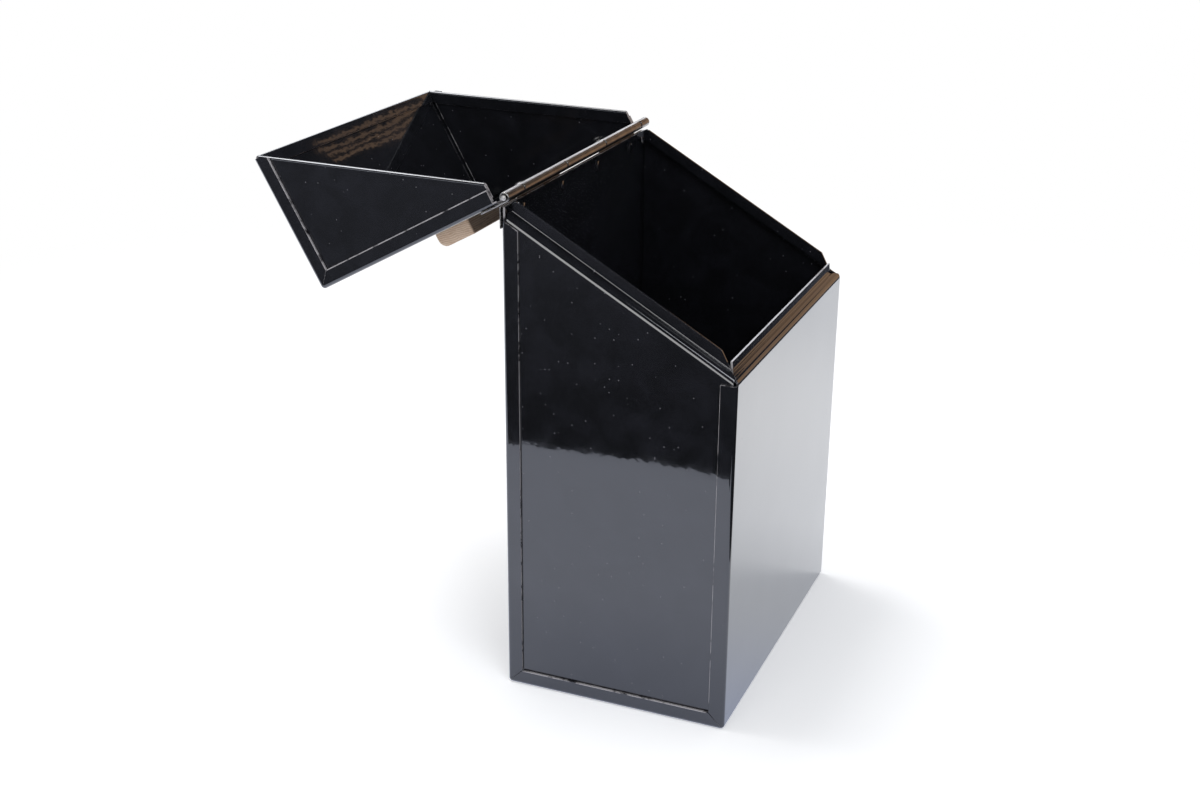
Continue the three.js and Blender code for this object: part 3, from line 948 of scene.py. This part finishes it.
@dataclass
class Shell:
    """A folded strip of enamelled sheet and the two side plates that close it."""

    body: ClassVar[Body]
    plate_looks: ClassVar[int] = 2  # Finishes on a side plate, 1 where its edges get no painted highlight
    finishes: tuple[Material, ...]  # The enamel of the faces, and the painted highlight of the cut edges
    edge: float = 0.32  # Rounding of the strip's cut edges
    plate_edge: float = 0.25  # Rounding of the side plates' cut edges

    def build(self) -> None:
        """Builds and places the three pieces."""
        self.place("wrap", "strip", self.strip(), self.edge, self.finishes)
        for side, hand in (("side_left", 1.0), ("side_right", -1.0)):
            self.place(side, side + "_plate", self.plate(hand), self.plate_edge,
                       self.finishes[:self.plate_looks])

    def place(self, node: str, name: str, skin: Skin, edge: float,
              finishes: tuple[Material, ...]) -> None:
        """Builds and places one piece.

        Args:
            node: Name of its CAD node after the body's word.
            name: Its own name after the body's word.
            skin: Its outer face.
            edge: Rounding of its cut edges.
            finishes: The finish of its faces and, where that differs, the painted highlight of
                its cut edges.
        """
        word = self.body.part + "_"
        made = sheet_object(word + name, self.body, skin, S.sheet, edge, finishes)
        settle(made, self.body, Slot.ENAMEL, word + node)

    def strip(self) -> Skin:
        """The outer face of the strip."""
        raise NotImplementedError

    def plate(self, hand: float) -> Skin:
        """The outer face of the left side plate (hand 1) or the right one (hand -1)."""
        raise NotImplementedError


@dataclass
class BoxBody(Shell):
    """The open box: one strip of front, bottom and back, and two side plates with rims."""

    body: ClassVar[Body] = Body.BOX
    plate_looks: ClassVar[int] = 1
    ledge: float = 4.4  # From a wall's outer face to the lip that stands up inside it
    rim: float = 3.4  # Outside radius of the roll from a wall to its ledge
    root: float = 0.8  # Outside radius of the fold from the ledge to the lip
    lip: float = 5.7  # Height of the lip over the ledge
    nose: float = 3.0  # Corner radius at the back end of a side lip
    nose_draw: float = 1.0  # How far the back end of a side lip is drawn in over the ledge
    runout: float = 5.0  # How far the front end of a side lip leans back
    # Front end of a side plate's rim behind a line at 45 degrees in plan from the front corner
    stand_off: float = 0.1
    skirt: float = 6.0  # From the ledge's top down to where a side plate's rim starts
    wall_lines: int = 26  # Lines from the foot of a side plate's wall to its skirt
    lip_half: float = 82.8  # Half length of the front lip
    lean: float = 0.4  # How far the front lip leans back at its top
    bow: float = 0.22  # How far the middle of a wall is bowed inwards
    # Width of the painted highlight line along the front flanges, fainter than the lid's lines
    painted_edge: float = 0.18

    @property
    def inside(self) -> Place:
        """A point in the middle of the box."""
        return 0.0, 0.0, 0.45 * S.height

    def strip(self) -> Skin:
        """Front, bottom and back panels with their folds, flanges and the front rim.

        Returns:
            The strip's skin.
        """
        skin = Skin(self.inside)
        front = Panel(along=2, across=1, face=S.front, inward=1.0)
        bottom = Panel(along=1, across=2, face=0.0, inward=1.0)
        back = Panel(along=2, across=1, face=S.back, inward=-1.0)
        front_ledge = float(S.ledge(S.front + self.ledge / 2))
        front_top = front_ledge - self.rim - S.fit
        drop = self.rim / math.cos(S.slope) + S.fit
        back_top = float(S.ledge(S.back - S.fold)) - drop
        wall_top = S.axis[1] - S.relief

        front.join(skin, stations(S.fold, front_top), self.bow, mitre(0, 1), level(front_top),
                   line=self.painted_edge)
        front_fold, back_fold = S.front + S.fold, S.back - S.fold
        bottom.join(skin, stations(front_fold, back_fold), self.bow, mitre(S.front, 1),
                    mitre(S.back, -1))
        back.join(skin, stations(S.fold, back_top), self.bow, mitre(0, 1),
                  lambda depth: S.ledge(S.back - depth) - drop, painted_edge=PaintedEdge.NONE)
        skin.add(back.tongue(np.array([back_top, back_top + STEP.support, wall_top])))
        strip_fold(skin, front_fold, S.fold, np.pi)
        strip_fold(skin, back_fold, S.fold, 1.5 * np.pi)

        lip_y = S.front + self.ledge
        section = bent_line([(S.front, front_top), (S.front, front_ledge), (lip_y, front_ledge),
                             (lip_y + self.lean, front_ledge + self.lip)],
                            [self.rim, self.root], STEP.front_edge)
        skin.add(self.front_rim(section))
        return skin

    def front_rim(self, section: Points) -> Points:
        """The front rim: its section carried along X, mitred in plan where it turns inwards.

        Args:
            section: Points (y, z) from the wall over the ledge to the top of the lip.

        Returns:
            The grid, its half length w(y) at each point of the section.
        """
        y, z = section[:, :1], section[:, 1:]
        plate_inner = S.cheek - S.sheet - S.fit
        reach = np.minimum(S.flat, plate_inner - (y - S.front - S.sheet))
        reach = np.where(y < S.front + S.sheet, S.flat, reach)
        reach = np.where(y > S.front + self.ledge - self.root / 2, self.lip_half, reach)
        return grid_of(reach * panel_shares(), y, z)

    def plate(self, hand: float) -> Skin:
        """A side plate with its rolled rim, ledge and lip along the sloping edge.

        A point is (hand * (-cheek + u), y, ledge(y) + v / cos slope), with (u, v) from the
        section, and y from start(u, v) to end(u, v).

        Args:
            hand: 1 for the left plate, -1 for the right one.

        Returns:
            The plate's skin.
        """
        skin = Skin(self.inside)
        front, back, foot = S.front + S.fold, S.back - S.fold, S.fold
        share = shares_of(stations(front, back))
        y = front + share * (back - front)
        brow = S.ledge(y) - self.skirt / math.cos(S.slope)
        rise = np.linspace(0, 1, self.wall_lines)[None, :]
        skin.add(grid_of(hand * (-S.cheek + bowed(self.bow, share, rise)), y,
                         foot + rise * (brow - foot)))

        section = bent_line([(0, -self.skirt), (0, 0), (self.ledge, 0), (self.ledge, self.lip)],
                            [self.rim, self.root], STEP.side_rim)
        u, v = section.T[:, None, :]
        start = np.maximum(front, S.front + u + self.stand_off)
        start = np.where((u > self.ledge - STEP.weld) & (v > 0),
                         S.front + self.ledge + S.fit
                         + self.runout * np.clip(v / self.lip, 0, 1), start)
        over = np.clip(v - (self.lip - self.nose), 0, self.nose)
        end = back - self.nose_draw * (u > self.ledge - self.root) * np.clip(v / self.root, 0, 1)
        end = end - (self.nose - np.sqrt(np.maximum(0, self.nose ** 2 - over ** 2)))
        y = start + share * (end - start)
        skin.add(grid_of(hand * (-S.cheek + u), y, S.ledge(y) + v / math.cos(S.slope)))
        return skin


# -------------------- the lid


@dataclass
class Lid(Shell):
    """The lid: one strip of top and front with a hemmed edge, and two wedge-shaped plates."""

    body: ClassVar[Body] = Body.LID
    gap: float = 1.2  # Closed lid above the box's ledges
    hem: float = 6.5  # Width of the hems
    hem_thick: float = 2.2  # Thickness over both layers of a hem
    back_cut: float = 8.1  # The sides stop this far from the back face
    front_ledge: float = 2.2  # From the box's front face to the middle of its front ledge
    wall_lines: int = 14  # Lines from the hem of a side plate to its top
    step_in: float = 0.5  # How far the front end of a side hem's inner layer stands back
    bow: float = 0.2  # How far the middle of a wall is bowed inwards

    @property
    def inside(self) -> Place:
        """A point in the middle of the closed lid."""
        return 0.0, S.front / 3, S.height - S.front_drop / 3

    @property
    def turn(self) -> float:
        """Outside radius of a hem's round fold, just under half of its thickness."""
        return 0.495 * self.hem_thick

    def free_edge(self, y: Points | float) -> Points | float:
        """Height of the closed lid's sloping edge at y."""
        return S.ledge(y) + self.gap

    def strip(self) -> Skin:
        """Top and front panels with their fold, flanges and the hem of the front.

        Returns:
            The strip's skin.
        """
        skin = Skin(self.inside)
        front = Panel(along=2, across=1, face=S.front, inward=1.0)
        top = Panel(along=1, across=2, face=S.height, inward=-1.0)
        foot = float(self.free_edge(S.front + self.front_ledge))
        hem_top = foot + self.turn
        side_back = S.back - self.back_cut
        top_back = S.axis[0] - S.relief

        front.join(skin, stations(hem_top, S.height - S.fold), self.bow,
                   lambda depth: np.maximum(hem_top, self.free_edge(S.front + depth)),
                   mitre(S.height, -1))
        top.join(skin, stations(S.front + S.fold, side_back), self.bow, mitre(S.front, 1),
                 level(side_back))
        skin.add(top.tongue(np.array([side_back, side_back + STEP.support, top_back])))
        strip_fold(skin, S.front + S.fold, S.height - S.fold, 0.5 * np.pi)

        inner = S.front + self.hem_thick
        section = bent_line([(S.front, hem_top), (S.front, foot), (inner, foot),
                             (inner, foot + self.hem)], [self.turn, self.turn],
                            STEP.front_edge)
        reach = np.full((len(section), 1), S.cheek - S.sheet - S.fit)
        reach[0] = S.flat
        skin.add(grid_of(reach * panel_shares(), section[:, :1], section[:, 1:]),
                 inside=(0.0, S.front + self.turn, foot + self.hem / 2))
        return skin

    def plate(self, hand: float) -> Skin:
        """A wedge-shaped side plate with a hem along its sloping edge.

        A point is (hand * (-cheek + u), y, edge(y) + v / cos slope), with (u, v) from the hem's
        section, and above the hem it rises in a straight line to the plate's top.

        Args:
            hand: 1 for the left plate, -1 for the right one.

        Returns:
            The plate's skin.
        """
        skin = Skin(self.inside)
        front, back = S.front + S.fold, S.back - self.back_cut
        share = shares_of(stations(front, back))
        y = front + share * (back - front)
        brow = self.free_edge(y) + self.hem / math.cos(S.slope)
        rise = np.linspace(0, 1, self.wall_lines)[None, :]
        # The wall's first row, just above the hem, gets the painted highlight.
        skin.add(grid_of(hand * (-S.cheek + bowed(self.bow, share, rise)), y,
                         brow + rise * (S.height - S.fold - brow)), painted_edge=PaintedEdge.FIRST_ROW)
        section = bent_line([(0, self.hem), (0, 0), (self.hem_thick, 0),
                             (self.hem_thick, self.hem)], [self.turn, self.turn],
                            STEP.side_hem)
        u, v = section.T[:, None, :]
        start = front + np.clip(u - S.sheet, 0, self.step_in)
        y = start + share * (back - start)
        skin.add(grid_of(hand * (-S.cheek + u), y, self.free_edge(y) + v / math.cos(S.slope)),
                 inside=(hand * (-S.cheek + 0.5 * self.hem_thick), 0.0,
                         float(self.free_edge(0.0)) + self.hem / 2))
        return skin


# -------------------- the hinge


@dataclass
class Hinge:
    """The piano hinge: two leaves whose knuckles are curled round one pin, and its rivets."""

    finish: Material  # The bright steel of leaves and pin
    rivet_finish: Material  # The plating of the rivets and of the pin's peened ends
    tail_finish: Material  # The enamel that covers the rivets' flattened ends
    width: float = 15.0  # From the axis to the edge of a leaf
    inset: float = 0.5  # Leaf ends inside the box's sides
    knuckle: float = 50.0  # Length of a whole knuckle
    first: float = 18.0  # Length of the cut knuckle at the left end
    gap: float = 1.0  # Between neighbouring knuckles
    curl: float = 295.0  # Angle that a knuckle wraps round the pin, in degrees
    pin: float = 1.3  # Radius of the pin
    pin_end: float = 0.5  # Pin beyond the box's sides
    # Angles off the pin's axis between which each domed end is drawn, in degrees
    cap: tuple[float, float] = (2.0, 30.0)
    cap_bands: int = 7  # Bands of faces in a domed end
    pin_points: int = 48  # Points round the pin
    rivet: float = 1.6  # Radius of a rivet's shank
    rivet_head: float = 2.6  # Radius of its head
    rivet_rise: float = 0.3  # How far its domed head stands out of the leaf
    rivet_tail: tuple[float, float] = (2.4, 0.06)  # Radius and thickness of its flattened end
    rivet_points: int = 40  # Points round a rivet
    # Radius of the flat face at the pole of a rivet's end, and depth of its head's rim
    tip: float = 0.05
    edge: float = 0.35  # Rounding of the leaves' cut edges
    sharp: float = 50.0  # Bends of a rivet over this angle stay sharp, in degrees

    def build(self) -> None:
        """Builds and places leaves, pin and rivets."""
        for body, first in ((Body.BOX, 1), (Body.LID, 0)):
            leaf = sheet_object("hinge_leaf_on_" + body.part, body,
                                self.leaf_skin(body, first), S.leaf, self.edge, (self.finish,))
            settle(leaf, body, Slot.STEEL, "hinge_leaf_" + body.part)
        pin = ringed_object("hinge_pin_rod", Body.BOX, self.pin_rings(), self.finish)
        capped = self.cap_bands * self.pin_points
        refinish(pin, self.rivet_finish, slice(capped), slice(-2 - capped, None))
        settle(pin, Body.BOX, Slot.STEEL, "hinge_pin")
        for number, x in enumerate(S.rivet_places, 1):
            for body in Body:
                self.place_rivet(body, number, float(x))

    @staticmethod
    def seat(body: Body, out: Any, along: Any) -> tuple[Any, Any]:
        """Y and Z at distances from the axis out of a leaf's wall and along the leaf."""
        y, z = S.axis
        return (y + out, z - along) if body is Body.BOX else (y - along, z + out)

    def leaf_skin(self, body: Body, first: int) -> Skin:
        """The outer face of a leaf: a flat strip, and knuckles that go on from it in a curl.

        A knuckle's section is (barrel, v) down to the axis, then (barrel cos a, -barrel sin a)
        for a from 0 to the curl.

        Args:
            body: The body that the leaf lies on.
            first: Number of the first knuckle place that belongs to this leaf.

        Returns:
            The leaf's skin.
        """
        ends = np.concatenate(([-S.side], self.first - S.side + self.knuckle * np.arange(4),
                               [S.side]))
        reach = S.side - self.inset
        left = np.maximum(ends[first:-1:2] + self.gap / 2, -reach)
        right = np.minimum(ends[first + 1::2] - self.gap / 2, reach)
        spans = [stations(a, b, STEP.knuckle) for a, b in zip(left, right)]
        x = np.unique(np.concatenate([[-reach, reach], *spans]))[None, :]
        skin = Skin((0.0, *self.seat(body, 0.0, self.width / 2)))
        flat = stations(self.width, S.relief, STEP.leaf)[:, None]
        skin.add(grid_of(x, *self.seat(body, S.barrel + 0 * flat, flat)))
        angle = np.radians(np.arange(0, self.curl + 1, STEP.fold))
        strap = np.linspace(S.relief, 0, 6)[:-1]
        out = np.concatenate((np.full(strap.size, S.barrel), S.barrel * np.cos(angle)))
        along = np.concatenate((strap, -S.barrel * np.sin(angle)))
        y, z = self.seat(body, out[:, None], along[:, None])
        for span in spans:
            skin.add(grid_of(span[None, :], y, z), inside=(float(span.mean()), *S.axis))
        return skin

    def pin_rings(self) -> Points:
        """Rings of the pin along X, each end a shallow cap of a sphere: r = R sin s / sin 30.

        Returns:
            The rings, shape (rings, points round, 3).
        """
        half = S.side + self.pin_end
        swing = np.radians(np.linspace(*self.cap, self.cap_bands + 1))
        ball = self.pin / math.sin(math.radians(self.cap[1]))
        nose = np.stack([ball * np.sin(swing), ball * (1 - np.cos(swing)) - half], axis=-1)
        tail = nose[::-1] * np.array([1.0, -1.0])
        rings = turned(np.concatenate((nose, tail)), self.pin_points)
        return grid_of(rings[..., 2], S.axis[0] + rings[..., 0], S.axis[1] + rings[..., 1])

    def rivet_rings(self) -> Points:
        """Rings of a rivet along its axis, z = 0 at the leaf's inner face, z up and out.

        Returns:
            The rings, shape (rings, points round, 3).
        """
        tail_r, tail = self.rivet_tail
        seat = -2 * S.fit - S.sheet
        chamfer = 0.2 * tail
        stem = np.array([[self.tip, seat - tail], [tail_r - chamfer, seat - tail],
                         [tail_r, seat - tail + chamfer], [tail_r, seat], [self.rivet, seat],
                         [self.rivet, 0], [self.rivet_head, S.leaf - self.tip]])
        swing = np.linspace(0, np.pi / 2, 8)
        dome = np.stack([self.rivet_head * np.cos(swing) + self.tip * np.sin(swing),
                         S.leaf + self.rivet_rise * np.sin(swing)], axis=-1)
        return turned(np.concatenate((stem, dome)), self.rivet_points)

    def place_rivet(self, body: Body, number: int, x: float) -> None:
        """Places a rivet through a leaf, its end inside the sheet covered by the enamel.

        Args:
            body: The body that the leaf lies on.
            number: The rivet's number, from the left.
            x: Its place along the hinge.
        """
        across, along, out = np.moveaxis(self.rivet_rings(), -1, 0)
        rings = grid_of(across + x, *self.seat(body, S.barrel - S.leaf + out,
                                               S.rivet_line + along))
        node = f"{body.part}_rivet_{number}"
        made = ringed_object(node + "_zinc", body, rings, self.rivet_finish, self.sharp)
        # The end's first three bands of faces, and its flat face.
        refinish(made, self.tail_finish, slice(3 * self.rivet_points), slice(-2, -1))
        settle(made, body, Slot.RIVET, node)


# -------------------- the grip


@dataclass
class Grip:
    """The wooden grip on the lid's outer face and the two screws that hold it."""

    finish: Material  # The wood
    screw_finish: Material  # The steel of the screws
    length: float = 100.0  # Length along X
    width: float = 21.0  # Width across the lid
    height: float = 8.4  # How far it stands out
    nose: float = 4.5  # Rounding of its front edge
    edge: float = 0.8  # Rounding of its other edges
    corner: float = 1.0  # Rounding of its corners in plan
    screw: float = 1.75  # Radius of a screw's shank
    screw_length: float = 6.6  # Length of the shank
    head: float = 3.6  # Radius of the domed head
    head_height: float = 2.0  # Height of the domed head
    # Half width, reach and depth of the cross recess in the head
    recess: Place = (0.38, 1.9, 1.1)
    # Width of the recess's slanting walls, at its sides and at its ends
    recess_slant: tuple[float, float] = (0.12, 0.25)
    tip: float = 0.05  # Radius of the flat face at the pole of the head
    screw_points: int = 96  # Points round a screw

    def build(self) -> None:
        """Builds and places the bar and its screws."""
        bar = ringed_object("lid_grip_wood", Body.LID, self.bar_rings(), self.finish)
        settle(bar, Body.LID, Slot.WOOD, "lid_grip")
        for number, x in enumerate((-S.screw_pitch / 2, S.screw_pitch / 2), 1):
            rings = self.screw_rings() + np.array([x, 0.0, 0.0])
            made = ringed_object(f"grip_screw_{number}_steel", Body.LID, rings,
                                 self.screw_finish)
            settle(made, Body.LID, Slot.STEEL, f"grip_screw_{number}")

    def bar_rings(self) -> Points:
        """Sections of the bar along X, each drawn in by 1 - sqrt(1 - t^2) at the rounded ends.

        Returns:
            The rings, shape (rings, points round, 3).
        """
        base = S.height + S.fit
        half = self.width / 2
        loop = closed_loop((-half, base), (half, base + self.height),
                           [self.edge, self.edge, self.edge, self.nose])
        middle = np.array([0.0, base + self.height / 2])
        end = self.length / 2
        t = np.sin(np.linspace(0, np.pi / 2, 7))
        x = np.concatenate((-end + self.corner * (1 - t[::-1]),
                            np.linspace(-end + self.corner, end - self.corner, 13)[1:-1],
                            end - self.corner * (1 - t)))
        inset = np.clip(np.abs(x) - (end - self.corner), 0, self.corner) / self.corner
        draw = self.corner * (1 - np.sqrt(1 - np.minimum(inset, 1) ** 2))[:, None]
        spread = loop - middle
        y = middle[0] + spread[None, :, 0] * (1 - draw / half)
        z = middle[1] + spread[None, :, 1] * (1 - 2 * draw / self.height)
        return grid_of(x[:, None], y, z)

    def screw_rings(self) -> Points:
        """Rings of a screw with a cross pressed into its domed head, head down.

        The head's height is h(r) = H sqrt(1 - (r / R)^2), less the recess where |x| or |y| is
        under the cross's half width and r under its reach.

        Returns:
            The rings, shape (rings, points round, 3).
        """
        seat = S.height - S.sheet - S.fit
        half, reach, depth = self.recess
        side, end = self.recess_slant
        # 22 rings over the recess, and 10 more that get closer towards the head's edge.
        r = np.concatenate((np.linspace(self.tip, reach + 0.4, 22),
                            self.head * np.sin(np.linspace(0.72, np.pi / 2, 10))))
        # The thousandth keeps the head's edge a hair thick.
        rise = self.head_height * np.sqrt(np.maximum(0, 1 - (r / (self.head * 1.001)) ** 2))
        dome = turned(np.stack([r, seat - rise], axis=-1), self.screw_points)
        x, y = np.abs(dome[..., 0]), np.abs(dome[..., 1])
        slot = np.clip((half - np.minimum(x, y)) / side + 0.5, 0, 1)
        slot = slot * np.clip((reach - np.hypot(x, y)) / end, 0, 1)
        dome[..., 2] += depth * slot
        point = seat + self.screw_length
        shank = turned(np.array([[self.head, seat], [self.screw, seat],
                                 [self.screw, point - self.screw], [2 * self.tip, point]]),
                       self.screw_points)
        return np.concatenate((dome, shank))


# -------------------- studio, camera


def aim(made: Thing, place: Place, target: Place | Vector, roll: float = 0.0) -> None:
    """Puts an object at a place, with its -Z axis towards a target and its Y axis up.

    Args:
        made: The object.
        place: Its place, in metres.
        target: The target.
        roll: Turn about its own Z axis after that, in degrees.
    """
    way = Vector(target) - Vector(place)
    made.matrix_world = (Matrix.Translation(place)
                         @ way.to_track_quat("-Z", "Y").to_matrix().to_4x4()
                         @ Matrix.Rotation(math.radians(roll), 4, "Z"))


def flat_object(name: str, half: tuple[float, float], material: Material) -> Thing:
    """Makes a flat rectangle round its own origin.

    Args:
        name: Its name.
        half: Half its width and half its height, in metres.
        material: Its finish.

    Returns:
        The new object.
    """
    w, h = half
    mesh = bpy.data.meshes.new(name)
    mesh.from_pydata([(-w, -h, 0), (w, -h, 0), (w, h, 0), (-w, h, 0)], [], [(0, 1, 2, 3)])
    mesh.materials.append(material)
    return linked(name, mesh)


def by_ray(node: AddNode, light: Node, seen: Node, gloss: Node) -> Node:
    """Chooses among three shaders by the kind of ray.

    Args:
        node: Adds a node to the tree.
        light: Shader for the rays that light the scene.
        seen: Shader for what the camera sees.
        gloss: Shader for what gloss reflects.

    Returns:
        The mixed shader.
    """
    path = node("LightPath")
    direct = node("Math", {0: (path, "Is Camera Ray"), 1: (path, "Is Transmission Ray")},
                  operation="MAXIMUM")
    plain = node("MixShader", {0: direct, 1: light, 2: seen})
    return node("MixShader", {0: (path, "Is Glossy Ray"), 1: plain, 2: gloss})


@dataclass(frozen=True)
class FloorPaint(Finish):
    """Matt white floor paint: soft shadows for the camera, a table with an edge in gloss."""

    # X and Y at which the gloss sees the white table end, in metres
    table: tuple[float, float] = (-0.373, -0.235)
    lift: float = 0.36  # Light that the camera sees on the floor over its own shading
    # Strength of the light that the gloss sees on the table instead, and its colours at the left
    # and in front
    sky: tuple[float, str, str] = (0.38, "#9fbaff", "#dfe6f6")
    # X, Y and strength of a painted pool of light on the floor, which only the gloss sees
    pool: Place = (0.30, -0.34, 0.22)
    room: str = "#2c2d32"  # Colour of the room that the gloss sees beyond the table
    title: ClassVar[str] = "white_floor"

    def shader(self, node: AddNode, place: Socket) -> Node:
        """A painted floor that turns pure white far off, and the table and room for gloss.

        Args:
            node: Adds a node to the material's tree.
            place: The output that gives the Object coordinates.

        Returns:
            The shader.
        """
        paint = node("BsdfPrincipled", {
            "Base Color": colour("#f4f4f4"), "Roughness": 0.6, "Specular IOR Level": 0.0})
        far = node("VectorMath", {0: place}, operation="LENGTH")
        away = node("MapRange", {"Value": (far, "Value"), "From Min": 0.25, "From Max": 0.9},
                    interpolation_type="SMOOTHSTEP")
        shine = node("Emission", {"Color": colour("#f8faff"), "Strength": self.lift})
        near = node("AddShader", {0: paint, 1: shine})
        white = node("Emission", {"Color": colour("#ffffff"), "Strength": 1.0})
        seen = node("MixShader", {0: away, 1: near, 2: white})

        apart = node("SeparateXYZ", {0: place})
        beside, before = (
            node("Math", {0: (apart, axis), 1: edge}, operation="GREATER_THAN")
            for axis, edge in zip("XY", self.table))
        table = node("Math", {0: beside, 1: before}, operation="MULTIPLY")
        gone = node("MapRange", {"Value": (far, "Value"), "From Min": 0.45, "From Max": 0.9,
                                 "To Min": 0.1, "To Max": 3.0})
        dark = node("Emission", {"Color": colour(self.room), "Strength": gone})
        # A painted pool of light: the floor glows brighter round one point, for gloss only.
        reach = node("VectorMath", {0: place, 1: (*self.pool[:2], 0.0)}, operation="DISTANCE")
        pooled = node("MapRange", {
            "Value": (reach, "Value"), "From Min": 0.10, "From Max": 0.30,
            "To Min": self.pool[2], "To Max": 0.0}, interpolation_type="SMOOTHSTEP")
        pool = node("Emission", {"Color": colour("#fffaf2"), "Strength": pooled})
        ahead = node("MapRange", {"Value": (apart, "X"), "From Min": -0.15, "From Max": 0.05},
                     interpolation_type="SMOOTHSTEP")
        shade = node("Mix", {"Factor": ahead, 6: colour(self.sky[1]), 7: colour(self.sky[2])},
                     data_type="RGBA")
        sky = node("Emission", {"Color": (shade, 2), "Strength": self.sky[0]})
        above = node("AddShader", {0: pool, 1: sky})
        top = node("AddShader", {0: paint, 1: above})
        gloss = node("MixShader", {0: table, 1: dark, 2: top})
        return by_ray(node, paint, seen, gloss)


@dataclass(frozen=True)
class Card:
    """A flat card outside the picture that shows only in gloss."""

    name: str  # Its name
    centre: Place  # Its middle, in metres
    size: tuple[float, float]  # Its width and height, in metres
    target: Place  # The point that it faces
    shade: str  # Its colour
    strength: float = 1.0  # Its brightness, where 1 shows the colour as written

    def build(self) -> None:
        """Makes the card."""
        made, tree = new_material(self.name + "_paint")
        paint = add_node(tree, "Emission", {
            "Color": colour(self.shade), "Strength": self.strength})
        add_node(tree, "OutputMaterial", {"Surface": paint})
        card = flat_object(self.name, (self.size[0] / 2, self.size[1] / 2), made)
        aim(card, self.centre, self.target)
        for ray in ("camera", "diffuse", "transmission", "volume_scatter", "shadow"):
            setattr(card, "visible_" + ray, False)
        log.info("card %s", self.name)


@dataclass(frozen=True)
class Lamp:
    """A soft square lamp."""

    name: str  # Its name
    centre: Place  # Its middle, in metres
    target: Place  # The point that it faces
    size: float  # Its side, in metres
    power: float  # Its power, in watts
    shade: str = "#ffffff"  # Its colour

    def build(self) -> None:
        """Makes the lamp."""
        lamp = bpy.data.lights.new(self.name, "AREA")
        lamp.shape = "SQUARE"
        lamp.size = self.size
        lamp.energy = self.power
        lamp.color = colour(self.shade)[:3]
        made = linked(self.name, lamp)
        made.visible_camera = False
        aim(made, self.centre, self.target)


# The middle of the lid's front panel, which reflects the slats.
LID_FRONT = (0.93, 0.187, 0.257)


@dataclass(frozen=True)
class Studio:
    """A plain white floor, soft light, and cards for what the gloss reflects."""

    floor_half: float = 4.0  # Half the side of the floor, in metres
    floor_drop: float = 0.0002  # Floor below the object's lowest point, in metres
    paint: FloorPaint = FloorPaint()  # The floor's finish
    light: float = 0.45  # Strength of the even light
    # The lamps
    lamps: tuple[Lamp, ...] = (
        Lamp("overhead", (0.10, 0.62, 1.55), (0.0, 0.05, 0.15), 0.8, 13.0),
        Lamp("fill", (-1.1, -1.1, 1.5), (0.0, 0.0, 0.1), 0.9, 10.0, "#f4f8ff"),
        Lamp("low_left", (-1.55, 0.20, 0.34), (0.0, 0.0, 0.12), 0.7, 5.0),
    )
    # The cards
    cards: tuple[Card, ...] = (
        Card("white_ceiling", (0.15, 1.30, 1.70), (2.0, 0.9), (0.0, 0.1, 0.2), "#f2f6ff", 3.0),
        Card("left_window", (-1.6, 0.95, 0.34), (0.8, 0.30), (0.0, 0.0, 0.22), "#eef2ff", 3.2),
        Card("right_window", (1.35, 0.62, 0.75), (0.9, 0.55), (0.0, 0.05, 0.22), "#f6f8ff", 2.0),
        Card("brown_board", (1.05, -0.40, 0.27), (0.64, 0.46), (0.0, -0.40, 0.27), "#c09c7c"),
        Card("high_board", (1.05, -0.01, 0.62), (0.54, 0.24), (0.0, -0.01, 0.62), "#b08f73"),
        Card("slat_1", (0.93, -0.2648, 0.5768), (0.34, 0.0038), LID_FRONT, "#b3937a"),
        Card("slat_2", (0.93, -0.2694, 0.5704), (0.32, 0.0036), LID_FRONT, "#b3937a"),
        Card("slat_3", (0.93, -0.2742, 0.5638), (0.30, 0.0040), LID_FRONT, "#b3937a"),
    )

    def build(self) -> None:
        """Makes the floor, the world, the lamps and the cards."""
        scene = bpy.context.scene
        scene.view_settings.view_transform = "Standard"
        floor = flat_object("floor", (self.floor_half, self.floor_half), self.paint.build())
        floor.location.z = -self.floor_drop
        scene.world = self.world()
        for item in (*self.lamps, *self.cards):
            item.build()

    def world(self) -> bpy.types.World:
        """White for the camera, the room's colour in gloss, and a soft even light.

        Returns:
            The world.
        """
        world = bpy.data.worlds.new("studio")
        world.use_nodes = True
        world.node_tree.nodes.clear()
        node = partial(add_node, world.node_tree)
        even, white, room = (
            node("Background", {"Color": colour(code), "Strength": strength})
            for code, strength in (("#ffffff", self.light), ("#ffffff", 1.0),
                                   (self.paint.room, 1.0)))
        node("OutputWorld", {"Surface": by_ray(node, even, white, room)})
        return world


@dataclass(frozen=True)
class Viewpoint:
    """The camera, at the photograph's viewing angle."""

    place: Place = (-0.7504, -0.2634, 0.4471)  # Its place, in metres
    forward: Place = (0.8592, 0.3535, -0.3697)  # Its direction of view
    roll: float = 0.45  # Turn about that direction, in degrees
    lens: float = 49.53  # Focal length for a sensor 36 mm wide

    def build(self) -> None:
        """Makes the camera and gives it to the scene."""
        camera = bpy.data.cameras.new("camera")
        camera.lens = self.lens
        camera.sensor_width = 36.0
        camera.clip_start = 0.01
        made = linked("camera", camera)
        aim(made, self.place, Vector(self.place) + Vector(self.forward), self.roll)
        bpy.context.scene.camera = made


def main() -> None:
    """Builds the camera, the studio and every sub-assembly in order."""
    logging.basicConfig(level=logging.INFO, format="%(name)s: %(message)s")
    Viewpoint().build()
    Studio().build()
    # edge: the painted highlight along cut edges and flange lines
    enamel, edge, steel = Enamel().build(), CutEdgeHighlight().build(), BrightSteel().build()
    BoxBody((enamel, edge)).build()
    Lid((enamel, edge)).build()
    Hinge(steel, ZincedSteel().build(), enamel).build()
    Grip(SandedWood().build(), steel).build()


if __name__ == "__main__":
    main()
